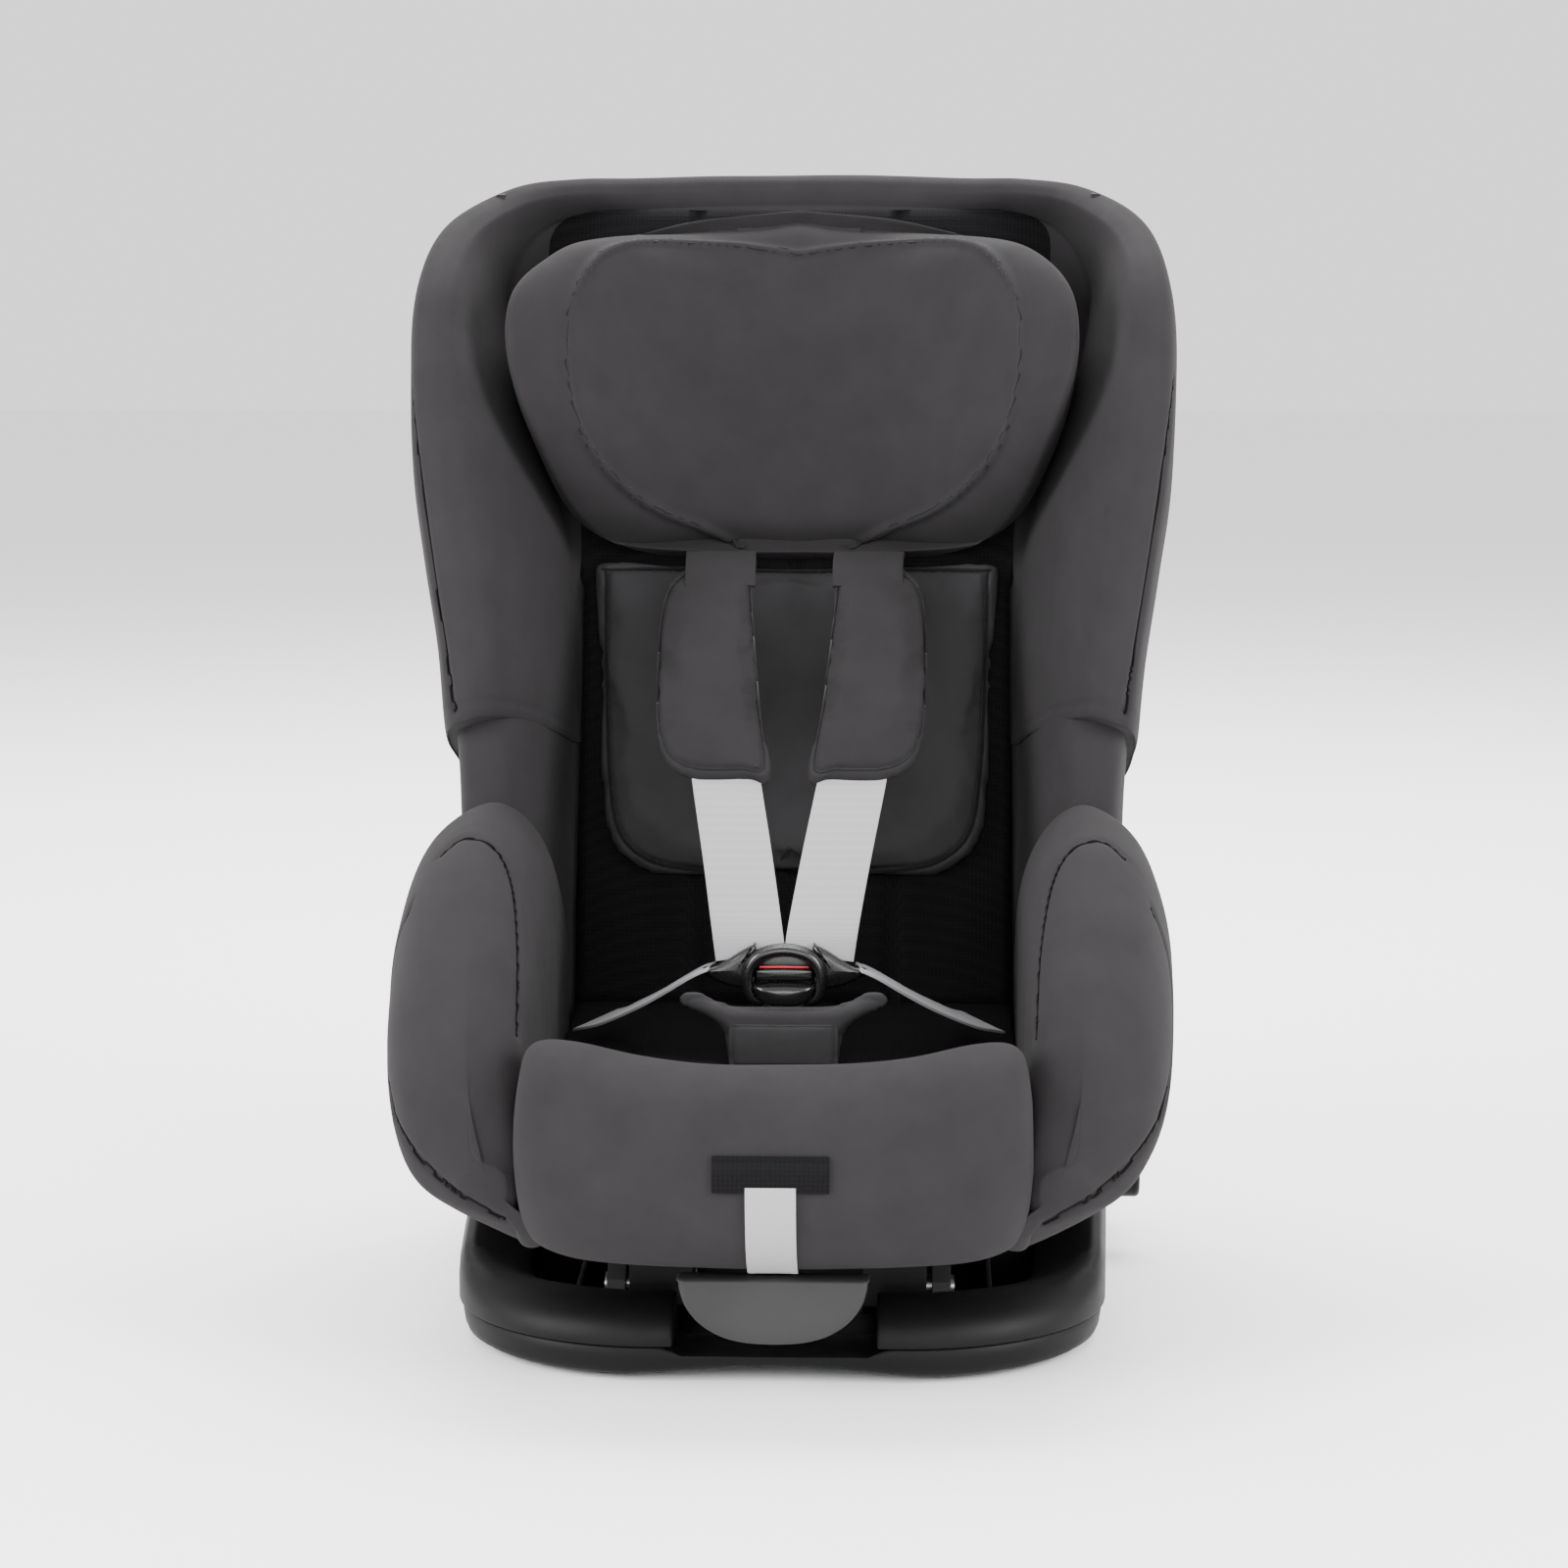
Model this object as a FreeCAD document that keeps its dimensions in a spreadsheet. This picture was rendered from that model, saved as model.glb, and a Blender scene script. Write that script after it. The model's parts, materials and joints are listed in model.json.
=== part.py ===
import FreeCAD
import Part

import math
import os

import Sketcher

# A forward-facing child car seat: a padded bucket shell that reclines along arc rails, on a frame
# that tips forward on a floor-standing base. Millimetres and degrees. +Z is up, the child looks
# along -Y, and the origin lies on the floor under the middle of the seat.
# The backrest parts are drawn upright in their own frame (y behind the back plane, z up the back)
# and then leaned back by back_lean about the line where the back meets the seat.

DIMENSIONS = {
    # backrest frame
    "back_lean": 16,
    "back_root_y": 85,
    "back_root_z": 150,
    # upholstery and shell thicknesses
    "cover_thick": 6,
    "shell_wall": 4,
    # backrest bucket
    "back_low": -20,
    "hem_up": 150,
    "wing_half_low": 185,
    "wing_half_hem": 203,
    "wing_half_top": 225,
    "wing_wide_up": 290,
    "wing_corner_up": 402,
    "top_corner": 110,
    "top_up": 512,
    "back_depth": 42,
    "lip_low": 118,
    "lip_hem": 131,
    "lip_head": 150,
    "lip_shoulder": 140,
    "lip_brow": 92,
    "cavity_half": 133,
    "cavity_half_head": 172,
    "shoulder_up": 255,
    "head_up": 345,
    # seat bucket
    "seat_front": 232,
    "arm_half": 213,
    "arm_top": 277,
    "arm_shoulder": 42,
    "bowl_half_low": 110,
    "bowl_low": 64,
    "bowl_corner": 135,
    "bowl_side_up": 185,
    "seat_half": 131,
    "tunnel_half": 95,
    # recline arc
    "arc_centre_y": -40,
    "arc_centre_z": 640,
    "pan_top_arc": 526,
    "pan_arc": 530,
    "rail_top_arc": 536,
    "rail_low_arc": 545,
    "bowl_arc": 560,
    "rail_x": 62,
    "rail_width": 12,
    # base
    "base_half": 190,
    "base_half_front": 177,
    "base_front": 215,
    "base_rear": 190,
    "tray_top": 20,
    "tray_corner": 110,
    "rear_corner": 60,
    "rim_width": 42,
    "rim_front_up": 31,
    "rim_rear_up": 100,
    "recess_half": 52,
    "recess_floor": 15,
    "foot_height": 3,
    "knob_stem": 5,
    "knob_radius": 14,
    "knob_thick": 14,
    "pivot_y": -140,
    "pivot_z": 34,
    "pivot_radius": 6,
    "bush_radius": 9,
    "running_gap": 0.05,
    "clear_gap": 0.4,
    "foot_radius": 16,
    "screw_hole": 2.1,
    # headrest
    "headrest_low": 276,
    "headrest_top": 484,
    "headrest_half": 166,
    "headrest_depth": 148,
    "guide_x": 28,
    "guide_back": 20,
    "guide_radius": 3.5,
    # harness
    "web_width": 39,
    "web_thick": 1.6,
    "tail_width": 24,
    "pad_length": 160,
}

doc = FreeCAD.newDocument("car_seat")
sheet = doc.addObject("Spreadsheet::Sheet", "Dims")
for row, (alias, number) in enumerate(DIMENSIONS.items(), 1):
    sheet.set(f"A{row}", alias)
    sheet.set(f"B{row}", str(number))
    sheet.setAlias(f"B{row}", alias)
doc.recompute()

Vector = FreeCAD.Vector
ORIGIN_POINT = -1
START = 1
END = 2
WIDE = 700.0  # longer than any part, for cutting right through
nodes = {}


# ---------------------------------------------------------------- sizes and helpers


class Size:
    """A number worked out from the Dims sheet, with the expression that ties a feature to it."""

    def __init__(self, text, number):
        self.text = text
        self.number = number

    def join(self, sign, other, number, swap=False):
        left, right = self.text, text_of(other)
        if swap:
            left, right = right, left
        return Size(f"({left} {sign} {right})", number)

    def __add__(self, other):
        return self.join("+", other, self.number + number_of(other))

    def __radd__(self, other):
        return self.join("+", other, number_of(other) + self.number, swap=True)

    def __sub__(self, other):
        return self.join("-", other, self.number - number_of(other))

    def __rsub__(self, other):
        return self.join("-", other, number_of(other) - self.number, swap=True)

    def __mul__(self, other):
        return self.join("*", other, self.number * number_of(other))

    def __rmul__(self, other):
        return self.join("*", other, number_of(other) * self.number, swap=True)

    def __truediv__(self, other):
        return self.join("/", other, self.number / number_of(other))

    def __neg__(self):
        return Size(f"(-1 * {self.text})", -self.number)


def number_of(value):
    return value.number if isinstance(value, Size) else float(value)


def text_of(value):
    return value.text if isinstance(value, Size) else f"({value})"


class Sheet:
    """Reads a named size from the spreadsheet."""

    def __getattr__(self, alias):
        return Size(f"Dims.{alias}", float(DIMENSIONS[alias]))


d = Sheet()


def root(value):
    return Size(f"sqrt({value.text})", math.sqrt(value.number))


def on_arc(radius, y):
    """The height of a circle about the recline centre, on its lower side, at that y."""
    radius = radius if isinstance(radius, Size) else Size(f"({radius})", float(radius))
    across = d.arc_centre_y - y
    return d.arc_centre_z - root(radius * radius - across * across)


def bind(thing, prop, value):
    """Sets a property, and ties it to the sheet where the value comes from there."""
    if "." not in prop:
        setattr(thing, prop, number_of(value))
    if isinstance(value, Size):
        thing.setExpression(prop, value.text)


def new_body(name, leaned=False):
    """A body in the seat's frame, or in the upright frame of the backrest."""
    body = doc.addObject("PartDesign::Body", name)
    body.Label = name
    if leaned:
        lean_back(body)
    return body


def lean_back(thing):
    """Puts something drawn in the upright backrest frame in its place."""
    turn = FreeCAD.Rotation(Vector(1, 0, 0), -number_of(d.back_lean))
    foot = Vector(0, number_of(d.back_root_y), number_of(d.back_root_z))
    thing.Placement = FreeCAD.Placement(foot, turn)
    thing.setExpression(".Placement.Base.y", d.back_root_y.text)
    thing.setExpression(".Placement.Base.z", d.back_root_z.text)
    thing.setExpression(".Placement.Rotation.Angle", (-d.back_lean).text)


def new_sketch(body, plane, offset=0):
    """A sketch on one of the body's own planes, moved along the plane's normal."""
    sketch = body.newObject("Sketcher::SketchObject", body.Name + "_outline")
    support = [f for f in body.Origin.OriginFeatures if f.Role == plane][0]
    sketch.AttachmentSupport = (support, "")
    sketch.MapMode = "FlatFace"
    sketch.AttachmentOffset = FreeCAD.Placement(
        Vector(0, 0, number_of(offset)), FreeCAD.Rotation()
    )
    bind(sketch, ".AttachmentOffset.Base.z", offset)
    return sketch


def arc_between(a, b, radius):
    """The short arc from a to b. It bulges to the right of the way from a to b if radius > 0."""
    chord = b - a
    middle = (a + b) * 0.5
    left = Vector(-chord.y, chord.x, 0).normalize()
    rise = math.sqrt(max(radius * radius - chord.Length**2 / 4, 0.0))
    centre = middle + left * (rise if radius > 0 else -rise)
    first, last = (a, b) if radius > 0 else (b, a)
    start_angle = math.atan2(first.y - centre.y, first.x - centre.x)
    end_angle = math.atan2(last.y - centre.y, last.x - centre.x)
    circle = Part.Circle(centre, Vector(0, 0, 1), abs(radius))
    return Part.ArcOfCircle(circle, start_angle, end_angle)


def draw(sketch, points):
    """A closed outline, anticlockwise. Each point is (x, y) or (x, y, radius of the arc to the next)."""
    corners = [Vector(number_of(p[0]), number_of(p[1]), 0) for p in points]
    pieces = []
    for i, point in enumerate(points):
        a, b = corners[i], corners[(i + 1) % len(points)]
        if len(point) > 2 and point[2] is not None:
            radius = number_of(point[2])
            pieces.append((sketch.addGeometry(arc_between(a, b, radius)), radius > 0))
        else:
            pieces.append((sketch.addGeometry(Part.LineSegment(a, b)), True))
    for i, point in enumerate(points):
        edge, forward = pieces[i]
        last_edge, last_forward = pieces[i - 1]
        start = START if forward else END
        last_end = END if last_forward else START
        sketch.addConstraint(
            Sketcher.Constraint("Coincident", last_edge, last_end, edge, start)
        )
        fix(sketch, "DistanceX", edge, start, point[0])
        fix(sketch, "DistanceY", edge, start, point[1])
        if len(point) > 2 and point[2] is not None:
            size = point[2]
            if number_of(size) < 0:
                size = -size
            tie(sketch, Sketcher.Constraint("Radius", edge, number_of(size)), size)
    return sketch


def fix(sketch, kind, edge, end, value):
    """Holds a point at a distance from the origin, or on the axis where the distance is zero."""
    if not isinstance(value, Size) and value == 0:
        axis = -2 if kind == "DistanceX" else -1
        sketch.addConstraint(Sketcher.Constraint("PointOnObject", edge, end, axis))
        return
    distance = Sketcher.Constraint(kind, ORIGIN_POINT, 1, edge, end, number_of(value))
    tie(sketch, distance, value)


def tie(sketch, constraint, value):
    index = sketch.addConstraint(constraint)
    if isinstance(value, Size):
        sketch.setExpression(f"Constraints[{index}]", value.text)


def mirrored(half, close=None):
    """The whole outline from its right half, given from the bottom to the top."""
    whole = list(half)
    for i in range(len(half) - 1, -1, -1):
        radius = half[i - 1][2] if i > 0 and len(half[i - 1]) > 2 else None
        if i == 0:
            radius = close
        whole.append((-half[i][0], half[i][1], radius))
    return whole


def circle(sketch, x, y, radius):
    centre = Vector(number_of(x), number_of(y), 0)
    ring = sketch.addGeometry(Part.Circle(centre, Vector(0, 0, 1), number_of(radius)))
    fix(sketch, "DistanceX", ring, 3, x)
    fix(sketch, "DistanceY", ring, 3, y)
    tie(sketch, Sketcher.Constraint("Radius", ring, number_of(radius)), radius)
    return sketch


def pad(body, sketch, length, reverse=False, both=False):
    feature = body.newObject("PartDesign::Pad", body.Name + "_pad")
    feature.Profile = sketch
    bind(feature, "Length", length)
    feature.Reversed = reverse
    feature.Midplane = both
    doc.recompute()
    return feature


def pocket(body, sketch, length, reverse=False, both=False):
    """Cuts a sketch out of the body, and makes sure that something was cut."""
    before = body.Shape.Volume
    feature = body.newObject("PartDesign::Pocket", body.Name + "_pocket")
    feature.Profile = sketch
    bind(feature, "Length", length)
    feature.Reversed = reverse
    feature.Midplane = both
    doc.recompute()
    if body.Shape.Volume > before - 1e-3:
        raise RuntimeError(f"a pocket in {body.Label} cut nothing")
    return feature


def round_edges(body, radius, wanted):
    """Fillets the edges of the body's tip that the test picks by their middle point."""
    tip = body.Tip
    names = []
    for i, edge in enumerate(tip.Shape.Edges, 1):
        middle = edge.valueAt((edge.FirstParameter + edge.LastParameter) / 2)
        if wanted(edge, middle):
            names.append(f"Edge{i}")
    if not names:
        raise RuntimeError(f"no edge to round in {body.Label}")
    feature = body.newObject("PartDesign::Fillet", body.Name + "_edges")
    feature.Base = (tip, names)
    bind(feature, "Radius", radius)
    doc.recompute()
    if "Invalid" in feature.State or not feature.Shape.isValid():
        raise RuntimeError(f"edges of {body.Label} can't be rounded: {names}")
    return feature


def prism(name, plane, points, length, offset=0, leaned=False, both=False, reverse=False):
    """A body with one padded outline."""
    body = new_body(name, leaned)
    sketch = draw(new_sketch(body, plane, offset), points)
    pad(body, sketch, length, both=both, reverse=reverse)
    return body


def rectangle(x_low, x_high, y_low, y_high):
    return [(x_low, y_low), (x_high, y_low), (x_high, y_high), (x_low, y_high)]


def slab(name, x_range, y_range, z_range, leaned=False):
    """A block from its lowest to its highest corner."""
    outline = rectangle(x_range[0], x_range[1], y_range[0], y_range[1])
    return prism(name, "XY_Plane", outline, z_range[1] - z_range[0], z_range[0], leaned)


def cut(name, base, *tools):
    for i, tool in enumerate(tools):
        result = doc.addObject("Part::Cut", f"{name}_{i}" if i < len(tools) - 1 else name)
        result.Base = base
        result.Tool = tool
        base = result
    doc.recompute()
    return base


def common(name, first, second):
    result = doc.addObject("Part::Common", name)
    result.Base = first
    result.Tool = second
    doc.recompute()
    return result


def fuse(name, *shapes):
    result = doc.addObject("Part::MultiFuse", name)
    result.Shapes = list(shapes)
    result.Refine = True
    doc.recompute()
    return result


def group(name, *pieces):
    result = doc.addObject("Part::Compound", name)
    result.Links = list(pieces)
    doc.recompute()
    return result


def rod(name, start, end, radius, leaned=False):
    """A round bar between two points."""
    bar = doc.addObject("Part::Cylinder", name)
    start, end = Vector(*map(number_of, start)), Vector(*map(number_of, end))
    turn = FreeCAD.Rotation(Vector(0, 0, 1), end - start)
    bar.Placement = FreeCAD.Placement(start, turn)
    if leaned:
        back = FreeCAD.Placement(
            Vector(0, number_of(d.back_root_y), number_of(d.back_root_z)),
            FreeCAD.Rotation(Vector(1, 0, 0), -number_of(d.back_lean)),
        )
        bar.Placement = back.multiply(bar.Placement)
    bar.Height = (end - start).Length
    bind(bar, "Radius", radius)
    doc.recompute()
    return bar


def node(name, thing):
    """Names a finished piece of the seat."""
    thing.Label = name
    nodes[name] = thing
    return thing


def strip(name, start, end, width, thick, across=(1, 0, 0)):
    """A straight length of flat webbing, its width turned as near as it can be to across."""
    start, end = Vector(*map(number_of, start)), Vector(*map(number_of, end))
    along = end - start
    length = along.Length
    along.normalize()
    wide = Vector(*across)
    wide = (wide - along * wide.dot(along)).normalize()
    flat = along.cross(wide)
    turn = FreeCAD.Rotation(wide, flat, along, "ZXY")
    band = doc.addObject("Part::Box", name)
    corner = start - wide * (number_of(width) / 2) - flat * (number_of(thick) / 2)
    band.Placement = FreeCAD.Placement(corner, turn)
    bind(band, "Length", width)
    bind(band, "Width", thick)
    band.Height = length
    doc.recompute()
    return band


def from_back(across, depth, up):
    """A point of the backrest frame in the seat's frame."""
    lean = math.radians(number_of(d.back_lean))
    depth, up = number_of(depth), number_of(up)
    y = number_of(d.back_root_y) + depth * math.cos(lean) + up * math.sin(lean)
    z = number_of(d.back_root_z) - depth * math.sin(lean) + up * math.cos(lean)
    return (number_of(across), y, z)


def disc(name, radius):
    """Everything nearer than the radius to the recline axis."""
    drum = doc.addObject("Part::Cylinder", name)
    turn = FreeCAD.Rotation(Vector(0, 1, 0), 90)
    centre = Vector(-WIDE / 2, number_of(d.arc_centre_y), number_of(d.arc_centre_z))
    drum.Placement = FreeCAD.Placement(centre, turn)
    drum.Height = WIDE
    bind(drum, "Radius", radius)
    return drum


def arc_band(name, inner, outer, y_low, y_high, half, centre_x=0):
    """A strip that follows the recline arc between two radii."""
    outline = [
        (y_low, on_arc(outer, y_low), outer),
        (y_high, on_arc(outer, y_high)),
        (y_high, on_arc(inner, y_high), -inner),
        (y_low, on_arc(inner, y_low)),
    ]
    return prism(name, "YZ_Plane", outline, half * 2, offset=centre_x - half)


# ---------------------------------------------------------------- main forms


def back_block(name, inset, rear_inset):
    """The backrest's outer form without its hollow: a front outline and a side outline crossed."""
    top = d.top_up - inset
    wide = d.wing_half_top - inset
    low = d.back_low - 50
    front = mirrored([
        (d.wing_half_low - inset, low),
        (d.wing_half_hem - inset, d.hem_up),
        (wide, d.wing_wide_up),
        (wide, d.wing_corner_up, d.top_corner - inset),
        (d.wing_half_top - d.top_corner, top),
    ])
    back = d.back_depth - rear_inset
    side = [
        (-d.lip_low + inset, low),
        (back, low),
        (back, top - 28, 28),
        (back - 28, top),
        (-8 + inset / 2, top),
        (-d.lip_brow + inset, 472 - inset / 2),
        (-d.lip_shoulder + inset, 400),
        (-d.lip_head + inset, 300),
        (-d.lip_hem + inset, d.hem_up),
    ]
    outline = prism(name + "_front", "XZ_Plane", front, WIDE, leaned=True, both=True)
    profile = prism(name + "_side", "YZ_Plane", side, WIDE, leaned=True, both=True)
    return common(name, outline, profile)


def back_hollow(name, inset, low=-150):
    """Where the child's body and the headrest go, open to the front and the top."""
    low_half = d.cavity_half + inset
    high_half = d.cavity_half_head + inset
    outline = mirrored([
        (low_half, low),
        (low_half, d.shoulder_up),
        (high_half, d.head_up),
        (high_half, WIDE),
    ])
    return prism(name, "XZ_Plane", outline, 400, offset=-inset, leaned=True)


def wing_block(name, outer, rear, hollow):
    """The backrest with its hollow, at insets from the outer, rear and hollow faces."""
    block = back_block(name + "_block", outer, rear)
    kept = common(name + "_kept", block, disc(name + "_disc", d.bowl_arc - outer))
    return cut(name, kept, back_hollow(name + "_hollow", hollow))


def seat_block(name, inset):
    """The bowl of the seat with its arms, across the whole width."""
    wide = d.arm_half - inset
    top = d.arm_top - inset
    front = mirrored([
        (d.bowl_half_low, d.bowl_low + inset, d.bowl_corner - inset),
        (wide, d.bowl_side_up),
        (wide, d.arm_top - d.arm_shoulder, d.arm_shoulder - inset),
        (d.arm_half - d.arm_shoulder, top),
    ])
    rear = 44 - inset
    arc = d.bowl_arc - inset
    side = [
        (-205, 68 + inset),
        (-150, on_arc(arc, -150), arc),
        (rear, on_arc(arc, rear)),
        (rear, d.arm_top - 62, 62 - inset),
        (-18, top),
        (-60, top),
        (-130 + 0.4 * inset, 262 - 0.9 * inset),
        (-190 + 0.75 * inset, 215 - 0.65 * inset),
        (-226 + inset, 160),
        (-d.seat_front + inset, 118),
        (-226 + inset, 88),
    ]
    outline = prism(name + "_front", "XZ_Plane", front, WIDE, both=True)
    profile = prism(name + "_side", "YZ_Plane", side, WIDE, both=True)
    return common(name, outline, profile)


def slice_x(name, thing, low, high):
    """The part of a thing between two widths."""
    return common(name, thing, slab(name + "_slice", (low, high), (-500, 500), (-100, 900)))


# ---------------------------------------------------------------- base


def base_outline(inset):
    """The base's plan, a little narrower in front, moved inward by an inset."""
    half = d.base_half - inset
    front_half = d.base_half_front - inset
    corner = d.tray_corner
    rear_corner = d.rear_corner
    front = -d.base_front + inset
    rear = d.base_rear - inset
    return [
        (corner - d.base_half_front, front),
        (d.base_half_front - corner, front, corner - inset),
        (front_half, corner - d.base_front),
        (half, d.base_rear - rear_corner, rear_corner - inset),
        (d.base_half - rear_corner, rear),
        (rear_corner - d.base_half, rear, rear_corner - inset),
        (-half, d.base_rear - rear_corner),
        (-front_half, corner - d.base_front, corner - inset),
    ]


def recess(name):
    """The opening in the middle of the base's front edge, for the recline handle."""
    half = d.recess_half
    outline = [(10 - half, d.recess_floor), (half - 10, d.recess_floor), (half, 60), (-half, 60)]
    return prism(name, "XZ_Plane", outline, 60, offset=165)


KNOB_PLACE = (75, 46)
SCREW_PLACES = [(x, y) for x in (-160, 160) for y in (-70, 20, 110)]


def make_base():
    tray = new_body("tray")
    pad(tray, draw(new_sketch(tray, "XY_Plane", d.foot_height), base_outline(3)),
        d.tray_top - d.foot_height)
    pocket(tray, draw(new_sketch(tray, "XY_Plane", d.tray_top), base_outline(45)), 12)
    screw_holes = new_sketch(tray, "XY_Plane", d.tray_top)
    for x, y in SCREW_PLACES:
        circle(screw_holes, x, y, d.screw_hole)
    pocket(tray, screw_holes, 40)
    round_edges(tray, 4, lambda edge, m: m.z < 4 and edge.Length > 60)
    arch = prism("tray_arch", "XZ_Plane", rectangle(-60, 60, 2, 6), 60, offset=172)
    node("base_tray", cut("base_tray", tray, recess("tray_recess"), arch))

    rim = new_body("rim")
    pad(rim, draw(new_sketch(rim, "XY_Plane", d.tray_top), base_outline(0)), 100)
    inside = new_sketch(rim, "XY_Plane", 160)
    pocket(rim, draw(inside, base_outline(d.rim_width)), 200)
    screw_holes = new_sketch(rim, "XY_Plane", d.tray_top)
    for x, y in SCREW_PLACES:
        circle(screw_holes, x, y, d.screw_hole)
    pocket(rim, screw_holes, 14, reverse=True)
    knob_bore = new_sketch(rim, "YZ_Plane", d.base_half + 20)
    circle(knob_bore, *KNOB_PLACE, d.knob_stem + d.running_gap)
    pocket(rim, knob_bore, 70)
    above = [
        (-300, d.rim_front_up - 4),
        (-d.base_front, d.rim_front_up - 4),
        (20 - d.base_front, d.rim_front_up + 5),
        (-100, 50, 480),
        (95, 80),
        (150, d.rim_rear_up),
        (300, d.rim_rear_up),
        (300, 300),
        (-300, 300),
    ]
    lid = prism("rim_lid", "YZ_Plane", above, WIDE, both=True)
    node("base_frame", cut("base_frame", rim, lid, recess("rim_recess")))

    upright = prism("upright", "YZ_Plane", [
        (162, d.rim_rear_up), (186, d.rim_rear_up), (188, 170), (206, 240), (190, 244), (168, 170),
    ], 300, offset=-150)
    window = prism("upright_window", "XZ_Plane", mirrored([(70, 120), (95, 215)]), 120, offset=-250)
    node("rear_upright", cut("rear_upright", upright, window))

    guides = []
    for side in (-1, 1):
        guide = new_body("belt_guide")
        outline = [
            (189.2, 172), (206, 178), (218, 198), (218, 234), (212, 234), (212, 204), (200, 190),
            (192, 181),
        ]
        sketch = draw(new_sketch(guide, "YZ_Plane", side * 122 - 22), outline)
        pad(guide, sketch, 44)
        guides.append(guide)
    node("belt_guides", group("belt_guides", *guides))

    brackets = []
    for side in (-1, 1):
        bracket = new_body("bracket")
        outline = [(-164, 8), (-116, 8), (-125, 40), (-133, 47), (-147, 47), (-155, 40)]
        sketch = draw(new_sketch(bracket, "YZ_Plane", side * 87 - 5), outline)
        pad(bracket, sketch, 10)
        hole = circle(new_sketch(bracket, "YZ_Plane", side * 87 + 20), d.pivot_y, d.pivot_z,
                      d.pivot_radius)
        pocket(bracket, hole, 40)
        brackets.append(bracket)
    node("pivot_brackets", group("pivot_brackets", *brackets))
    y, z = d.pivot_y, d.pivot_z
    node("pivot_shaft", rod("pivot_shaft", (-94, y, z), (94, y, z), d.pivot_radius))

    feet = []
    for x in (-120, 120):
        for y in (-150, 150):
            foot = new_body("foot")
            pad(foot, circle(new_sketch(foot, "XY_Plane"), x, y, d.foot_radius), d.foot_height)
            round_edges(foot, 1, lambda edge, m: m.z < 0.1)
            feet.append(foot)
    node("rubber_feet", group("rubber_feet", *feet))

    screws = []
    for x, y in SCREW_PLACES:
        screw = new_body("base_screw")
        pad(screw, circle(new_sketch(screw, "XY_Plane", 2), x, y, 4.5), 1)
        pad(screw, circle(new_sketch(screw, "XY_Plane", 2.5), x, y, 2), 28)
        screws.append(screw)
    node("base_screws", group("base_screws", *screws))


def make_tilt_knob():
    """The sprung plunger at the side of the base that lets the seat frame tip forward."""
    knob = new_body("tilt_release_knob")
    y, z = KNOB_PLACE
    head = d.base_half + 3
    pad(knob, circle(new_sketch(knob, "YZ_Plane", 80.5), y, z, d.knob_stem), head - 80)
    pad(knob, circle(new_sketch(knob, "YZ_Plane", head), y, z, d.knob_radius), d.knob_thick)
    tip = number_of(head + d.knob_thick)
    round_edges(knob, 3, lambda edge, m: m.x > tip - 1)
    node("tilt_release_knob", knob)


# ---------------------------------------------------------------- tilting frame with arc rails


def make_tilt_frame():
    for side, word in ((-1, "left"), (1, "right")):
        beam = new_body("beam_" + word)
        arc = d.rail_low_arc
        outline = [
            (-168, 30), (-162, 24), (140, 24), (140, on_arc(arc, 140), -arc), (-168, on_arc(arc, -168)),
        ]
        sketch = draw(new_sketch(beam, "YZ_Plane", side * d.rail_x - 17), outline)
        pad(beam, sketch, 34)
        hole = new_sketch(beam, "YZ_Plane", side * d.rail_x + 30)
        pocket(beam, circle(hole, d.pivot_y, d.pivot_z, d.bush_radius), 60)
        node("tilt_beam_" + word, beam)
        rail = arc_band("rail_" + word, d.rail_top_arc, arc, -168, 140, d.rail_width / 2,
                        centre_x=side * d.rail_x)
        node("rail_" + word, rail)

    bushes = []
    for side in (-1, 1):
        bush = new_body("bush")
        ring = new_sketch(bush, "YZ_Plane", side * d.rail_x - 17)
        circle(ring, d.pivot_y, d.pivot_z, d.bush_radius)
        circle(ring, d.pivot_y, d.pivot_z, d.pivot_radius + d.running_gap)
        pad(bush, ring, 34)
        bushes.append(bush)
    node("pivot_bushes", group("pivot_bushes", *bushes))

    rack = arc_band("notch_strip", 548, 553, -110, 30, 45)
    slots = [arc_band("notch", 540, 560, y - 5, y + 5, 14) for y in range(-92, 30, 26)]
    node("recline_rack", cut("recline_rack", rack, *slots))

    ties = []
    for y, z in ((-110, 62), (115, 60)):
        ties.append(rod("frame_tie", (-45, y, z), (45, y, z), 9))
    node("frame_ties", group("frame_ties", *ties))


# ---------------------------------------------------------------- shell, foams and covers


def make_shell():
    outside = fuse("shell_outside", seat_block("shell_seat", d.cover_thick),
                   common("shell_back", back_block("shell_back_block", d.cover_thick, 0),
                          disc("shell_disc", d.bowl_arc - d.cover_thick)))
    wall = d.cover_thick + d.shell_wall
    inside = fuse("shell_inside", seat_block("shell_seat_in", wall),
                  common("shell_back_in", back_block("shell_back_in_block", wall, d.shell_wall),
                         disc("shell_disc_in", d.bowl_arc - wall)))
    tunnel = tunnel_form("shell_tunnel", 0)
    tunnel_in = tunnel_form("shell_tunnel_in", d.shell_wall)
    kept = [
        (-196, 40), (300, 40), (440, 720), (186, 720), (166, 647), (60, 280), (-10, 200), (-196, 130),
    ]
    layer = cut("shell_layer", cut("shell_outer", outside, tunnel), cut("shell_core", inside, tunnel_in))
    keep = prism("shell_keep", "YZ_Plane", kept, WIDE, both=True)
    shell = common("shell_kept", layer, keep)
    belt_slot = slab("belt_slot", (-110, 110), (20, 60), (70, 88), leaned=True)
    head_space = back_hollow("shell_head_space", d.cover_thick, low=200)
    node("seat_shell", cut("seat_shell", shell, belt_slot, head_space, *nodes["shoe_screws"].Links))


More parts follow.
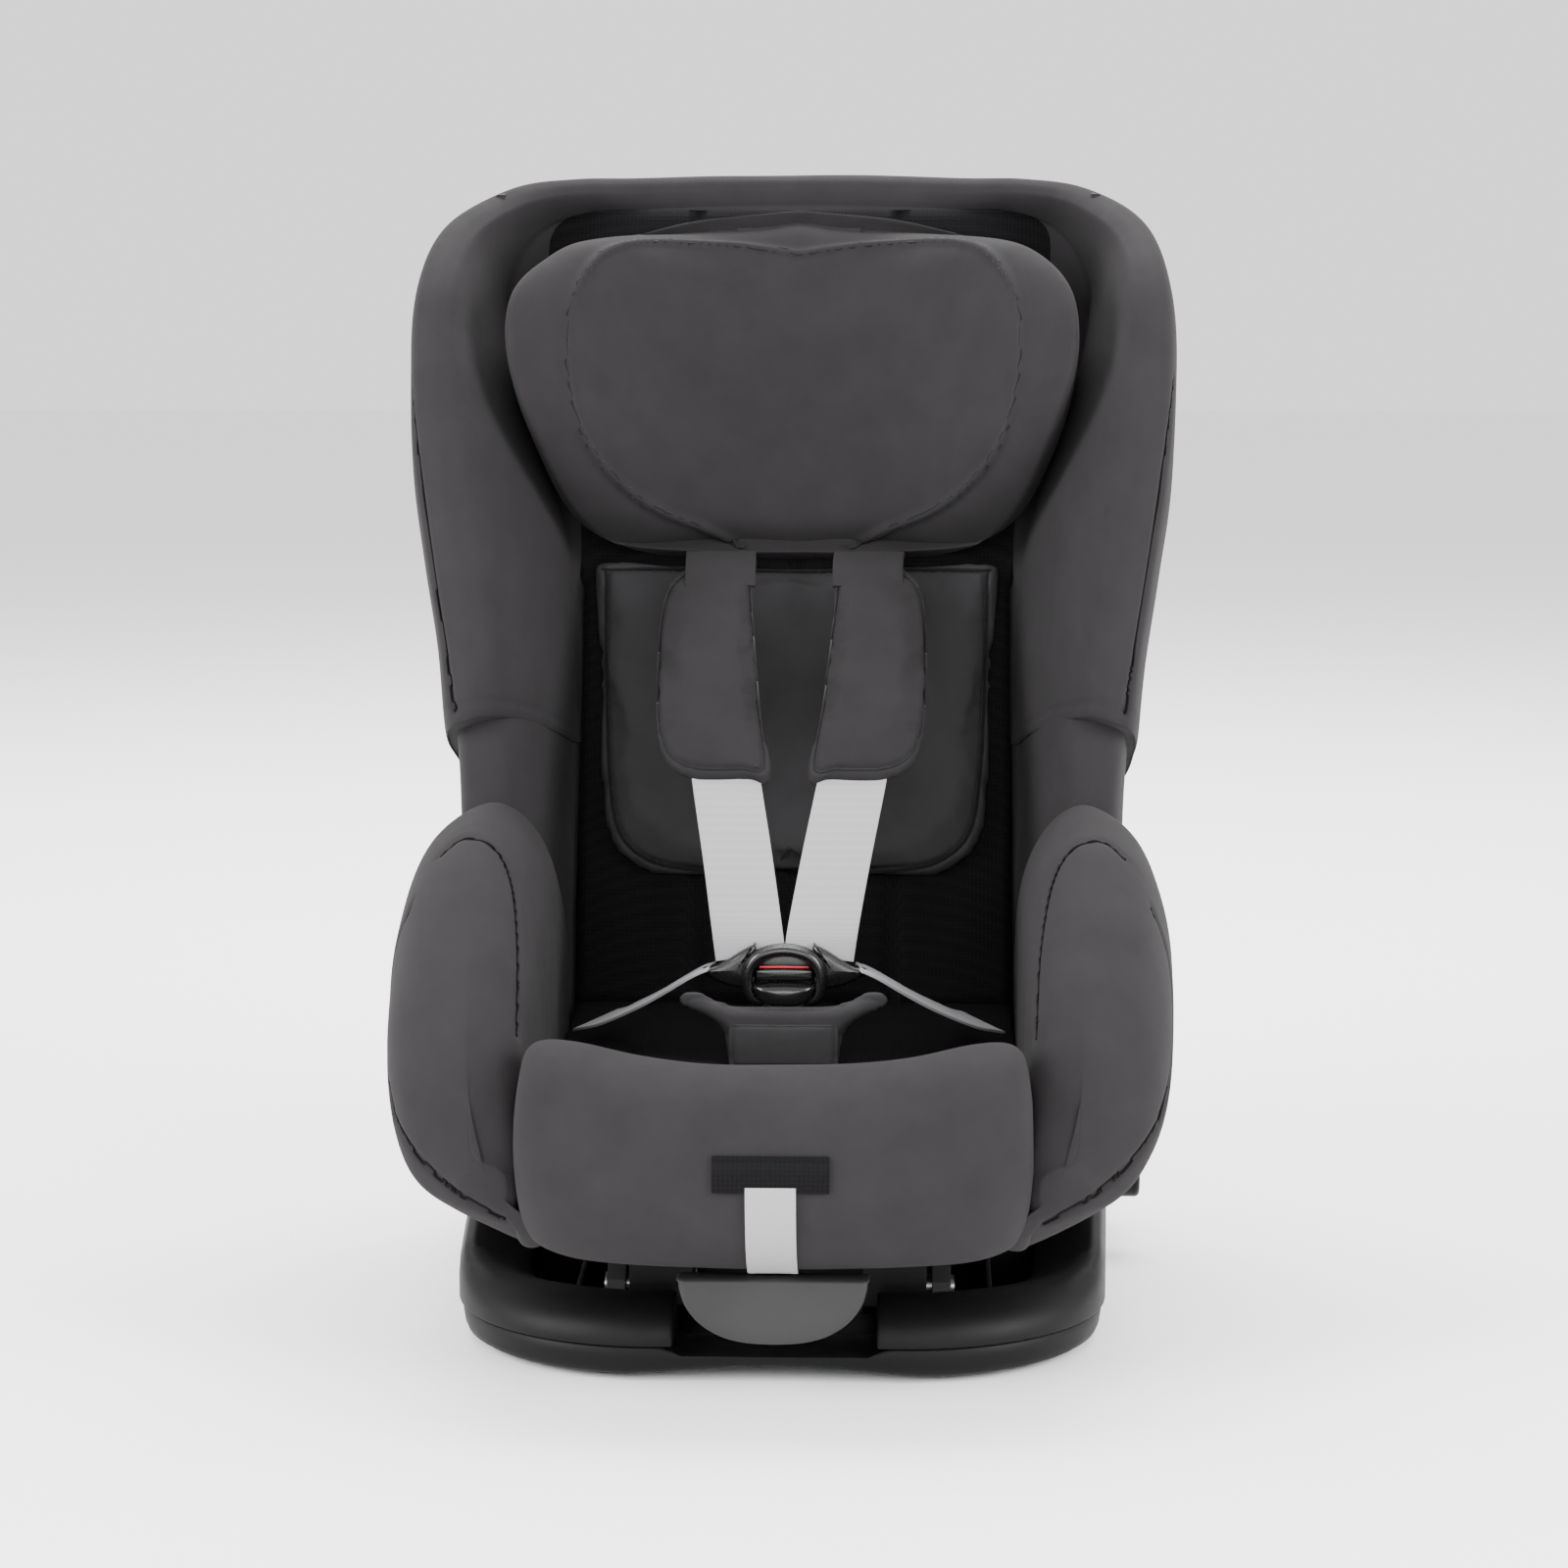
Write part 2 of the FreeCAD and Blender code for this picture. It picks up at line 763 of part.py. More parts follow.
def tunnel_form(name, wall):
    """The space under the seat pan in which the rails run."""
    arc = d.pan_arc - wall
    outline = [
        (-300, 0), (300, 0), (300, 500), (150, 180), (150, on_arc(arc, 150), -arc),
        (-195, on_arc(arc, -195)), (-300, on_arc(arc, -195)),
    ]
    half = d.tunnel_half + wall
    return prism(name, "YZ_Plane", outline, half * 2, offset=-half)


def make_back_soft():
    thick = d.cover_thick
    core = wing_block("foam_core", thick + d.shell_wall, d.shell_wall, thick)
    core = cut("foam_core_cut", core, seat_block("foam_arm_space", 0))
    edge = d.cavity_half + thick
    for side, word in ((-1, "left"), (1, "right")):
        low, high = (-300, -edge) if side < 0 else (edge, 300)
        node("wing_foam_" + word, slice_x("wing_foam_" + word, core, low, high))
    middle = slice_x("back_foam_block", core, -edge, edge)
    above_pan = disc("back_foam_disc", d.pan_top_arc - 4)
    middle = common("back_foam_kept", middle, above_pan)
    channel = slab("strap_channel", (-52, 52), (-20, 32), (-90, 428), leaned=True)
    node("back_foam", cut("back_foam", middle, channel))

    skin_out = wing_block("skin_out", 0, -10, 0)
    skin_in = wing_block("skin_in", thick, -30, thick)
    floor = slab("skin_floor", (-d.cavity_half, d.cavity_half), (-1, thick + 0.05), (-150, 506),
                 leaned=True)
    rear = slab("skin_rear", (-300, 300), (d.back_depth, 200), (-200, 600), leaned=True)
    skin = cut("skin", skin_out, skin_in, floor, rear)
    hem = d.hem_up
    upper = slab("upper_part", (-300, 300), (-300, 200), (hem + 0.4, 600), leaned=True)
    node("cover_upper", common("cover_upper", skin, upper))
    lower = slab("lower_part", (-300, 300), (-300, 200), (-100, hem), leaned=True)
    waist = common("cover_waist", skin, lower)
    seat_space = slab("waist_seat", (-d.cavity_half, d.cavity_half), (-300, 300), (0, 400))
    arms = seat_block("waist_arms", 0)
    node("cover_lower", cut("cover_lower", waist, arms, seat_space, nodes["seat_shell"]))

    half = d.cavity_half - 0.5
    panel = slab("back_panel", (-half, half), (0, thick - 0.2), (-8, 505), leaned=True)
    slot = slab("back_slot", (-52, 52), (-5, 10), (266, 520), leaned=True)
    node("back_cushion", cut("back_cushion", panel, slot))

    insert = new_body("back_pad", leaned=True)
    outline = mirrored([(95, 66, 32), (128, 100), (124, 250, 10), (114, 260)])
    pad(insert, draw(new_sketch(insert, "XZ_Plane", 0.5), outline), 13)
    round_edges(insert, 4, lambda edge, m: edge.Length > 5 and is_front_edge(edge, -13.5))
    node("back_pad", insert)


def is_front_edge(edge, depth):
    """Whether an edge lies in the front face of a body, in the body's own frame."""
    return all(abs(corner.Point.y - depth) < 0.01 for corner in edge.Vertexes)


def make_seat_soft():
    thick = d.cover_thick
    side_low = d.seat_half
    whole = seat_block("arm_whole", 0)
    inner = seat_block("arm_inner", thick)
    filling = seat_block("arm_filling", thick + d.shell_wall)
    for side, word in ((-1, "left"), (1, "right")):
        low, high = (-300, -side_low) if side < 0 else (side_low, 300)
        arm = slice_x("arm_block_" + word, whole, low, high)
        low, high = (-300, -side_low - thick) if side < 0 else (side_low + thick, 300)
        core = slice_x("arm_core_" + word, inner, low, high)
        node("arm_cover_" + word, cut("arm_cover_" + word, arm, core, nodes["seat_shell"]))
        node("arm_foam_" + word, slice_x("arm_foam_" + word, filling, low, high))

    half = d.seat_half - 0.5
    arc = d.pan_top_arc - 4
    cushion = [
        (-196, on_arc(arc, -196), arc), (76, on_arc(arc, 76)), (82, 149), (40, 143), (0, 140),
        (-60, 142), (-120, 152), (-196, 178),
    ]
    node("seat_cushion", prism("seat_cushion", "YZ_Plane", cushion, half * 2, offset=-half))

    half = d.seat_half - 0.3
    roll = prism("roll", "YZ_Plane", [
        (-228, 66), (-209, 70), (-209, 118), (-196.5, 138), (-196.5, 178), (-222, 181, 34),
        (-262, 145), (-265, 115), (-260, 96),
    ], half * 2, offset=-half)
    bay = slab("adjuster_bay", (-27, 27), (-300, -230), (108, 141))
    slot = slab("strap_slot", (-14, 14), (-235, -190), (118, 150))
    rod_slot = slab("rod_slot", (-14, 14), (-226, -190), (60, 119))
    node("front_cushion", cut("front_cushion", roll, bay, slot, rod_slot))


# ---------------------------------------------------------------- harness


BUCKLE_Y = -60
BUCKLE_LOW = 166
BUCKLE_TOP = 205


def make_buckle():
    housing = new_body("buckle_housing")
    outline = mirrored([(15, BUCKLE_LOW), (21, 178, 60), (22, 192, 26), (10, BUCKLE_TOP)])
    pad(housing, draw(new_sketch(housing, "XZ_Plane", 48), outline), 24)
    slot = new_sketch(housing, "XY_Plane", 178)
    pocket(housing, draw(slot, rectangle(-18, 18, -64, -56)), 60, reverse=True)
    window = new_sketch(housing, "XZ_Plane", 64.6)
    pocket(housing, draw(window, mirrored([(11.5, 181), (11.5, 192, 20), (6, 197)])), 12,
           reverse=True)
    node("buckle_housing", housing)
    button = new_body("buckle_button")
    shape = mirrored([(11, 181.5), (11, 191.7, 19.5), (5.8, 196.4)])
    pad(button, draw(new_sketch(button, "XZ_Plane", 68.5), shape), 5)
    node("buckle_button", button)

    for side, word in ((-1, "left"), (1, "right")):
        tongue = new_body("tongue_" + word)
        outline = [(3, 182), (13, 182), (15, 206), (40, 197), (43, 203), (36, 209), (15, 212), (3, 212)]
        if side < 0:
            outline = [(-x, z) for x, z in reversed(outline)]
        pad(tongue, draw(new_sketch(tongue, "XZ_Plane", 57), outline), 6)
        node("tongue_" + word, tongue)

    node("crotch_strap", strip("crotch_strap", (0, BUCKLE_Y, 143.5), (0, BUCKLE_Y, BUCKLE_LOW - 0.3),
                               34, d.web_thick))
    crotch = new_body("crotch_pad")
    outline = mirrored([(30, 149), (33, 160), (57, 162), (59, 178)])
    pad(crotch, draw(new_sketch(crotch, "XZ_Plane", 75.5), outline), 10)
    node("crotch_pad", crotch)


def make_straps():
    for side, word in ((-1, "left"), (1, "right")):
        low = (side * 21.7, -54.2, 217.4)
        high = (side * 35, 9, 284.6)
        node("shoulder_strap_" + word, strip("shoulder_strap_" + word, low, high, d.web_width,
                                             d.web_thick))
        front = strip("pad_run", (side * 36, 13.5, 290.2), (side * 48, 116, 414.3), d.web_width,
                      d.web_thick)
        behind = strip("slot_run", (side * 48, 117, 414), from_back(side * 22, 13, 272),
                       d.web_width, d.web_thick)
        rear = strip("yoke_run", from_back(side * 22, 13, 270), from_back(side * 22, 13, 208),
                     d.web_width - 1, d.web_thick)
        node("upper_strap_" + word, fuse("upper_strap_" + word, front, behind, rear))
        hip = (side * 104, 18, 168)
        node("lap_strap_" + word, strip("lap_strap_" + word, (side * 46, -56, 205), hip,
                                        d.web_width * 0.8, d.web_thick, across=(0, 1, 0.1)))
    yoke = prism("splitter_yoke", "XZ_Plane", mirrored([(10, 182), (42, 200), (42, 207)]), 4,
                 offset=-14, leaned=True)
    node("splitter_yoke", yoke)
    down = slab("pull_down", (-12, 12), (10, 11.6), (-10, 180), leaned=True)
    under = arc_band("pull_under", 523.2, 524.8, -194, 82, 12)
    node("pull_strap", group("pull_strap", down, under))

    half = d.tail_width / 2
    tail = [
        (-268.2, 116), (-268.2, 98), (-236, 66), (-235, 67.2), (-266.6, 98.6), (-266.6, 116),
    ]
    node("adjuster_strap", prism("adjuster_strap", "YZ_Plane", tail, half * 2, offset=-half))

    for side, word in ((-1, "left"), (1, "right")):
        node("shoulder_pad_" + word, make_shoulder_pad(side, word))


def make_shoulder_pad(side, word):
    """A D-shaped sleeve round the webbing, straight towards the neck and round outside."""
    sleeve = new_body("shoulder_pad_" + word)
    lean = math.degrees(math.atan2(100, 121))
    sleeve.Placement = FreeCAD.Placement(Vector(0, 10, 286), FreeCAD.Rotation(Vector(1, 0, 0), -lean))
    outline = [(13, 0), (52, 0, 46), (84, 40, 130), (86, 95, 62), (70, d.pad_length - 4),
               (38, d.pad_length)]
    if side < 0:
        outline = [(52 - 104, 0), (-13, 0), (-38, d.pad_length), (-70, d.pad_length - 4, 62),
                   (-86, 95, 130), (-84, 40, 46)]
    pad(sleeve, draw(new_sketch(sleeve, "XZ_Plane"), outline), 14, both=True)
    track = new_sketch(sleeve, "XY_Plane", -5)
    middle = side * 43
    pocket(sleeve, draw(track, rectangle(middle - 29, middle + 29, -2.5, 2.5)), 200, reverse=True)
    return sleeve


def make_adjuster():
    housing = new_body("adjuster_housing")
    pad(housing, draw(new_sketch(housing, "YZ_Plane", -24), rectangle(-258, -233, 110, 139)), 48)
    bay = draw(new_sketch(housing, "YZ_Plane", -16), rectangle(-262, -238, 113, 134))
    pocket(housing, bay, 32, reverse=True)
    node("adjuster_housing", housing)
    lever = new_body("adjuster_lever")
    outline = [(-259, 121), (-257, 115), (-244, 118), (-242, 131), (-255, 131)]
    pad(lever, draw(new_sketch(lever, "YZ_Plane", -15), outline), 30)
    node("adjuster_lever", lever)
    flap = slab("adjuster_flap", (-29, 29), (-270.2, -268.7), (116, 133))
    node("adjuster_flap", flap)


# ---------------------------------------------------------------- headrest


def make_headrest():
    low, top, half = d.headrest_low, d.headrest_top, d.headrest_half
    outline = mirrored([
        (100, low, 60),
        (143, low + 32, 160),
        (half - 2, low + 100),
        (half, low + 134),
        (half - 6, top - 42, 60),
        (half - 56, top),
    ])
    front = prism("headrest_front", "XZ_Plane", outline, WIDE, leaned=True, both=True)
    side = [
        (-6.3, low), (-6.3, top), (-78, top), (-d.headrest_depth + 10, top - 34),
        (-d.headrest_depth, top - 90), (-d.headrest_depth + 14, low + 48), (-84, low),
    ]
    profile = prism("headrest_side", "YZ_Plane", side, WIDE, leaned=True, both=True)
    block = common("headrest_block", front, profile)
    dish = [
        (-124, -200), (124, -200), (112, -70, 60), (72, -48, 400), (-72, -48, 60), (-112, -70),
    ]
    scoop = prism("headrest_scoop", "XY_Plane", dish, 400, offset=low - 50, leaned=True)
    grip_bay = slab("grip_bay", (-41, 41), (-26, 0), (top - 34, top + 9), leaned=True)
    node("headrest_cushion", cut("headrest_cushion", block, scoop, grip_bay))

    plate_outline = mirrored([
        (96, low + 4, 60), (139, low + 34, 160), (half - 6, low + 100), (half - 6, low + 134),
        (half - 12, top - 44, 56), (half - 58, top - 4),
    ])
    plate = prism("headrest_plate", "XZ_Plane", plate_outline, 5, offset=1, leaned=True)
    node("headrest_shell", cut("headrest_shell", plate, grip_bay))

    bridge = slab("headrest_bridge", (-38, 38), (-1, 27), (286, 306), leaned=True)
    rods = [
        rod("guide", (x, d.guide_back, 45), (x, d.guide_back, 286), d.guide_radius, leaned=True)
        for x in (-d.guide_x, d.guide_x)
    ]
    node("headrest_stem", fuse("headrest_stem", bridge, *rods))
    blocks = []
    for x in (-d.guide_x, d.guide_x):
        block = slab("guide_block", (x - 9, x + 9), (15, 31.5), (130, 150), leaned=True)
        hole = rod("guide_hole", (x, d.guide_back, 100), (x, d.guide_back, 200),
                   d.guide_radius + d.running_gap, leaned=True)
        blocks.append(cut("guide_bored", block, hole))
    node("guide_blocks", group("guide_blocks", *blocks))

    grip = new_body("headrest_grip", leaned=True)
    shape = rectangle(-38, 38, top - 31, top - 12)
    pad(grip, draw(new_sketch(grip, "XZ_Plane", 4), shape), 18)
    node("headrest_grip", grip)


# ---------------------------------------------------------------- recline handle


def make_recline_handle():
    handle = new_body("recline_handle")
    outline = mirrored([(18, 29, 62), (43, 45, 32), (48, 62)])
    pad(handle, draw(new_sketch(handle, "XZ_Plane", 222), outline), 17)
    finger = draw(new_sketch(handle, "XZ_Plane", 222), mirrored([(20, 33, 50), (38, 46), (40, 54)]))
    pocket(handle, finger, 11, reverse=True)
    round_edges(handle, 3, lambda edge, m: m.y < -238.9 and m.z < 61)
    node("recline_handle", handle)
    lift = [
        (-222, 56), (-209, 56), (-164, 109), (-160, on_arc(543, -160)), (-160, on_arc(539, -160)),
        (-167, 113.5), (-214, 61.5), (-222, 61.5),
    ]
    slope = prism("rod_slope", "YZ_Plane", lift, 24, offset=-12)
    run = arc_band("rod_run", 539, 543, -161, 12, 12)
    node("recline_rod", fuse("recline_rod", slope, run))
    centre = on_arc(541, 8)
    node("latch_pin", rod("latch_pin", (-22, 17.5, centre), (22, 17.5, centre), 5))


def make_shoe_screws():
    screws = []
    for x in (-1, 1):
        for y in (-45, 95):
            low, high = on_arc(d.rail_top_arc - 2, y), on_arc(d.pan_top_arc, y) + 1
            screws.append(rod("shoe_screw", (x * d.rail_x, y, low), (x * d.rail_x, y, high), 2.5))
    node("shoe_screws", group("shoe_screws", *screws))


def make_slide_shoes():
    """Plastic sliders under the seat pan that run along the rails."""
    shoes = []
    for x in (-1, 1):
        for y in (-60, 80):
            shoe = arc_band("shoe", d.pan_arc, d.rail_top_arc - d.clear_gap, y, y + 30, 8,
                            centre_x=x * d.rail_x)
            shoes.append(cut("shoe_bored", shoe, *nodes["shoe_screws"].Links))
    node("slide_shoes", group("slide_shoes", *shoes))


make_base()
make_tilt_knob()
make_tilt_frame()
make_shoe_screws()
make_shell()
make_slide_shoes()
make_back_soft()
make_seat_soft()
make_buckle()
make_straps()
make_adjuster()
make_headrest()
make_recline_handle()
doc.recompute()

for thing in doc.Objects:
    if "Invalid" in thing.State or "Error" in thing.State:
        raise RuntimeError(f"{thing.Label} failed: {thing.State}")
for name, thing in nodes.items():
    shape = thing.Shape
    if shape.isNull() or not shape.isValid() or not shape.Solids:
        raise RuntimeError(f"{name} has no valid shape")

os.makedirs("parts", exist_ok=True)
for name, thing in nodes.items():
    thing.Shape.exportStep(f"parts/{name}.step")
print(len(nodes), "nodes written")
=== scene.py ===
import json
import math

import bmesh
import bpy
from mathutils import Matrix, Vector, noise
from mathutils.bvhtree import BVHTree
from mathutils.kdtree import KDTree


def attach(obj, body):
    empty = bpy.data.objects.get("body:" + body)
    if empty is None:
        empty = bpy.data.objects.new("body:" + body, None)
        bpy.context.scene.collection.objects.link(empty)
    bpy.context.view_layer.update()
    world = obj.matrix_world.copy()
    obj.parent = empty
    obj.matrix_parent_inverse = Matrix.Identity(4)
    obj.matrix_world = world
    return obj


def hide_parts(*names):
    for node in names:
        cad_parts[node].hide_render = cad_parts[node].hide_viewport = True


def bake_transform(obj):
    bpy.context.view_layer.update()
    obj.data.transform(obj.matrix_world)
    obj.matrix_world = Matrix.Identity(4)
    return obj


# The looks of the child seat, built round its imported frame. Shapes are written in millimetres
# and turned into metres by point() and back(). Backrest parts use the backrest's own frame:
# x across, depth behind the back plane, up along the back.

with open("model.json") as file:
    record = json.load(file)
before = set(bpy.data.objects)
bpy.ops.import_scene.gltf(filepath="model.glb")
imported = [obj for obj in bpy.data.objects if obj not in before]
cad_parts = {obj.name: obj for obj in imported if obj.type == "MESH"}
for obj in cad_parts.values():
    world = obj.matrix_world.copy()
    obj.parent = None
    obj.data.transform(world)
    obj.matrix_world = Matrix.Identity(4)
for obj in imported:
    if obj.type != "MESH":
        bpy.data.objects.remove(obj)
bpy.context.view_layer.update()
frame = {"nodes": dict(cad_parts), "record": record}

MM = 0.001
LEAN = math.radians(16)
BACK_ROOT = Vector((0.0, 85.0, 150.0))
SIDES = ((-1, "left"), (1, "right"))
CLOTH_STIFFNESS = 25
CLOTH_FRAMES = 20
CAST_START = 0.6        # how many direction lengths before a point its cast starts
SEAM_LIFT = 0.2


def point(x, y, z):
    return Vector((x, y, z)) * MM


def back(x, depth, up):
    """A point of the leaned backrest frame, in metres."""
    y = BACK_ROOT.y + depth * math.cos(LEAN) + up * math.sin(LEAN)
    z = BACK_ROOT.z - depth * math.sin(LEAN) + up * math.cos(LEAN)
    return Vector((x, y, z)) * MM


# The ways a line is cast on a piece: straight to the rear, or square into the backrest.
REARWARD = Vector((0, 1, 0))
INTO_BACK = back(0, 1, 0) - back(0, 0, 0)


# ---- curves through control points


def mix(a, b, t):
    return tuple(p + (q - p) * t for p, q in zip(a, b))


def catmull(a, b, c, d, t):
    """A point of the smooth curve from b to c."""
    return tuple(
        0.5 * (2 * q + (r - p) * t + (2 * p - 5 * q + 4 * r - s) * t * t
               + (3 * q - p - 3 * r + s) * t ** 3)
        for p, q, r, s in zip(a, b, c, d)
    )


def smooth_line(points, steps, closed=False):
    """The points of a smooth curve through all the given points, with steps pieces in each span."""
    count = len(points)
    spans = count if closed else count - 1
    line = []
    for i in range(spans):
        if closed:
            a, b, c, d = (points[(i + k - 1) % count] for k in range(4))
        else:
            a, b, c, d = (points[min(max(i + k - 1, 0), count - 1)] for k in range(4))
        for k in range(steps):
            line.append(catmull(a, b, c, d, k / steps))
    if not closed:
        line.append(tuple(points[-1]))
    return line


def even_line(points, count, closed=False):
    """The same line cut into pieces of equal length."""
    dots = [Vector(p) for p in points]
    if closed:
        dots.append(dots[0])
    lengths = [0.0]
    for a, b in zip(dots, dots[1:]):
        lengths.append(lengths[-1] + (b - a).length)
    total = lengths[-1]
    result = []
    k = 0
    pieces = count if closed else count - 1
    for i in range(count):
        want = total * i / pieces
        while k < len(lengths) - 2 and lengths[k + 1] < want:
            k += 1
        span = max(lengths[k + 1] - lengths[k], 1e-9)
        result.append(dots[k].lerp(dots[k + 1], min(max((want - lengths[k]) / span, 0.0), 1.0)))
    return result


# ---- meshes


def add_mesh(name, verts, faces, smooth=True):
    mesh = bpy.data.meshes.new(name)
    mesh.from_pydata([tuple(v) for v in verts], [], faces)
    mesh.validate()
    thing = bpy.data.objects.new(name, mesh)
    bpy.context.scene.collection.objects.link(thing)
    work = bmesh.new()
    work.from_mesh(mesh)
    bmesh.ops.recalc_face_normals(work, faces=work.faces)
    work.to_mesh(mesh)
    work.free()
    for face in mesh.polygons:
        face.use_smooth = smooth
    return thing


def loft(name, rows, cap=True):
    """A skin over rows of points, each row closed on itself, with its two ends filled."""
    count = len(rows[0])
    verts = [v for row in rows for v in row]
    faces = []
    for i in range(len(rows) - 1):
        for k in range(count):
            n = (k + 1) % count
            faces.append((i * count + k, i * count + n, (i + 1) * count + n, (i + 1) * count + k))
    if cap:
        for first in (0, (len(rows) - 1) * count):
            middle = len(verts)
            row = verts[first:first + count]
            verts.append(sum(row, Vector()) / count)
            for k in range(count):
                faces.append((first + k, first + (k + 1) % count, middle))
    return add_mesh(name, verts, faces)


def smooth_rows(rows, across, along):
    """Control rows turned into a fine grid, smooth both ways."""
    fine = [smooth_line(row, across, closed=True) for row in rows]
    columns = [smooth_line([row[k] for row in fine], along) for k in range(len(fine[0]))]
    return [[Vector(column[i]) for column in columns] for i in range(len(columns[0]))]


def apply_all(thing):
    """Makes a piece's modifiers part of its mesh."""
    graph = bpy.context.evaluated_depsgraph_get()
    graph.update()
    mesh = bpy.data.meshes.new_from_object(thing.evaluated_get(graph))
    thing.modifiers.clear()
    old = thing.data
    thing.data = mesh
    bpy.data.meshes.remove(old)
    return thing


def modify(thing, kind, **settings):
    step = thing.modifiers.new(kind.lower(), kind)
    for key, value in settings.items():
        setattr(step, key, value)
    return apply_all(thing)


def smooth_shade(thing):
    for face in thing.data.polygons:
        face.use_smooth = True
    return thing


def subdivide(thing, levels=1):
    return modify(thing, "SUBSURF", levels=levels, render_levels=levels)


def round_edges(thing, width, segments, angle):
    """Rounds the edges sharper than an angle in degrees."""
    modify(thing, "BEVEL", width=width * MM, segments=segments, limit_method="ANGLE",
           angle_limit=math.radians(angle))
    return smooth_shade(thing)


def cut_away(thing, cutter):
    modify(thing, "BOOLEAN", object=cutter, operation="DIFFERENCE", solver="EXACT")
    bpy.data.objects.remove(cutter)
    return thing


def box_form(name, across, along, high):
    """A plain block between limits in millimetres, for cutting with."""
    dots = [point(x, y, z) for z in high for y in along for x in across]
    faces = [(0, 2, 3, 1), (4, 5, 7, 6), (0, 1, 5, 4), (2, 6, 7, 3), (0, 4, 6, 2), (1, 3, 7, 5)]
    return add_mesh(name, dots, faces, False)


def join(name, things):
    """Several meshes made one."""
    work = bmesh.new()
    for thing in things:
        mesh = thing.data
        mesh.transform(thing.matrix_world)
        work.from_mesh(mesh)
        bpy.data.objects.remove(thing)
        bpy.data.meshes.remove(mesh)
    mesh = bpy.data.meshes.new(name)
    work.to_mesh(mesh)
    work.free()
    whole = bpy.data.objects.new(name, mesh)
    bpy.context.scene.collection.objects.link(whole)
    return smooth_shade(whole)


def slab(name, outline, place, thickness, bevel=0.0):
    """A plate with an outline in two axes. place(a, b, c) gives the point at a height c."""
    count = len(outline)
    verts = [place(a, b, 0.0) for a, b in outline] + [place(a, b, thickness) for a, b in outline]
    faces = [tuple(range(count)), tuple(range(2 * count - 1, count - 1, -1))]
    for k in range(count):
        n = (k + 1) % count
        faces.append((k, n, n + count, k + count))
    plate = add_mesh(name, verts, faces, smooth=False)
    if bevel:
        round_edges(plate, bevel, 3, 40)
    return plate


def tube(name, line, radius, closed=False, sides=8):
    """A round cord along a line of points in metres."""
    dots = [Vector(p) for p in line]
    count = len(dots)
    rows = []
    side = None
    for i, dot in enumerate(dots):
        if closed:
            along = dots[(i + 1) % count] - dots[i - 1]
        else:
            along = dots[min(i + 1, count - 1)] - dots[max(i - 1, 0)]
        along.normalize()
        if side is None:
            side = along.orthogonal().normalized()
        side = (side - along * side.dot(along)).normalized()
        over = along.cross(side)
        ring = []
        for k in range(sides):
            turn = 2 * math.pi * k / sides
            ring.append(dot + (side * math.cos(turn) + over * math.sin(turn)) * radius * MM)
        rows.append(ring)
    if closed:
        first = rows[0]
        shift = min(range(sides), key=lambda s: (first[s] - rows[-1][0]).length)
        rows.append([first[(k + shift) % sides] for k in range(sides)])
        return loft(name, rows, cap=False)
    return loft(name, rows)


# ---- soft work


def swell(thing, pressure, cap, voxel):
    """Blows a closed form up like a stuffed pad with a short cloth run, its travel capped."""
    modify(thing, "REMESH", mode="VOXEL", voxel_size=voxel * MM)
    modify(thing, "SMOOTH", factor=0.5, iterations=3)
    start = [v.co.copy() for v in thing.data.vertices]
    cloth = thing.modifiers.new("cloth", "CLOTH").settings
    cloth.use_pressure = True
    cloth.uniform_pressure_force = pressure
    cloth.effector_weights.gravity = 0.0
    cloth.tension_stiffness = CLOTH_STIFFNESS
    cloth.compression_stiffness = CLOTH_STIFFNESS
    cloth.bending_stiffness = 2
    cloth.quality = 4
    scene = bpy.context.scene
    for step in range(1, CLOTH_FRAMES + 1):
        scene.frame_set(step)
    apply_all(thing)
    for v, first in zip(thing.data.vertices, start):
        move = v.co - first
        if move.length > cap * MM:
            v.co = first + move.normalized() * cap * MM
    scene.frame_set(1)
    return smooth_shade(thing)


def groove(thing, line, width, depth):
    """Presses a seam into a piece along a line of points in metres."""
    tree = KDTree(len(line))
    for i, dot in enumerate(line):
        tree.insert(dot, i)
    tree.balance()
    normals = [v.normal.copy() for v in thing.data.vertices]
    for v, normal in zip(thing.data.vertices, normals):
        distance = tree.find(v.co)[2] / MM
        if distance < width * 2.5:
            v.co -= normal * depth * MM * math.exp(-((distance / width) ** 2))
    thing.data.update()


def surface_tree(thing):
    work = bmesh.new()
    work.from_mesh(thing.data)
    tree = BVHTree.FromBMesh(work)
    work.free()
    return tree


def lay_on(thing, line, lift):
    """A line's points moved onto the nearest place of a piece's skin."""
    tree = surface_tree(thing)
    laid = []
    for dot in line:
        place, normal, _, _ = tree.find_nearest(dot)
        laid.append(place + normal * lift * MM)
    return laid


def cast_on(thing, line, count, direction, lift=0.0, closed=False):
    """A line, cut evenly, sent along a direction until its points meet a piece's skin."""
    tree = surface_tree(thing)
    laid = []
    for dot in even_line(line, count, closed):
        start = dot - direction * CAST_START
        place, normal, _, _ = tree.ray_cast(start, direction)
        if place is None:
            place, normal, _, _ = tree.find_nearest(laid[-1] if laid else dot)
        laid.append(place + normal * lift * MM)
    return laid


def seam_cord(name, thing, line, width=2.0, depth=2.2, radius=0.7, count=140):
    """Presses a seam into a piece along a line on its skin and lays a dark thread in it."""
    groove(thing, even_line(line, count * 2), width, depth)
    return tube(name, lay_on(thing, even_line(line, count), SEAM_LIFT), radius, sides=5)


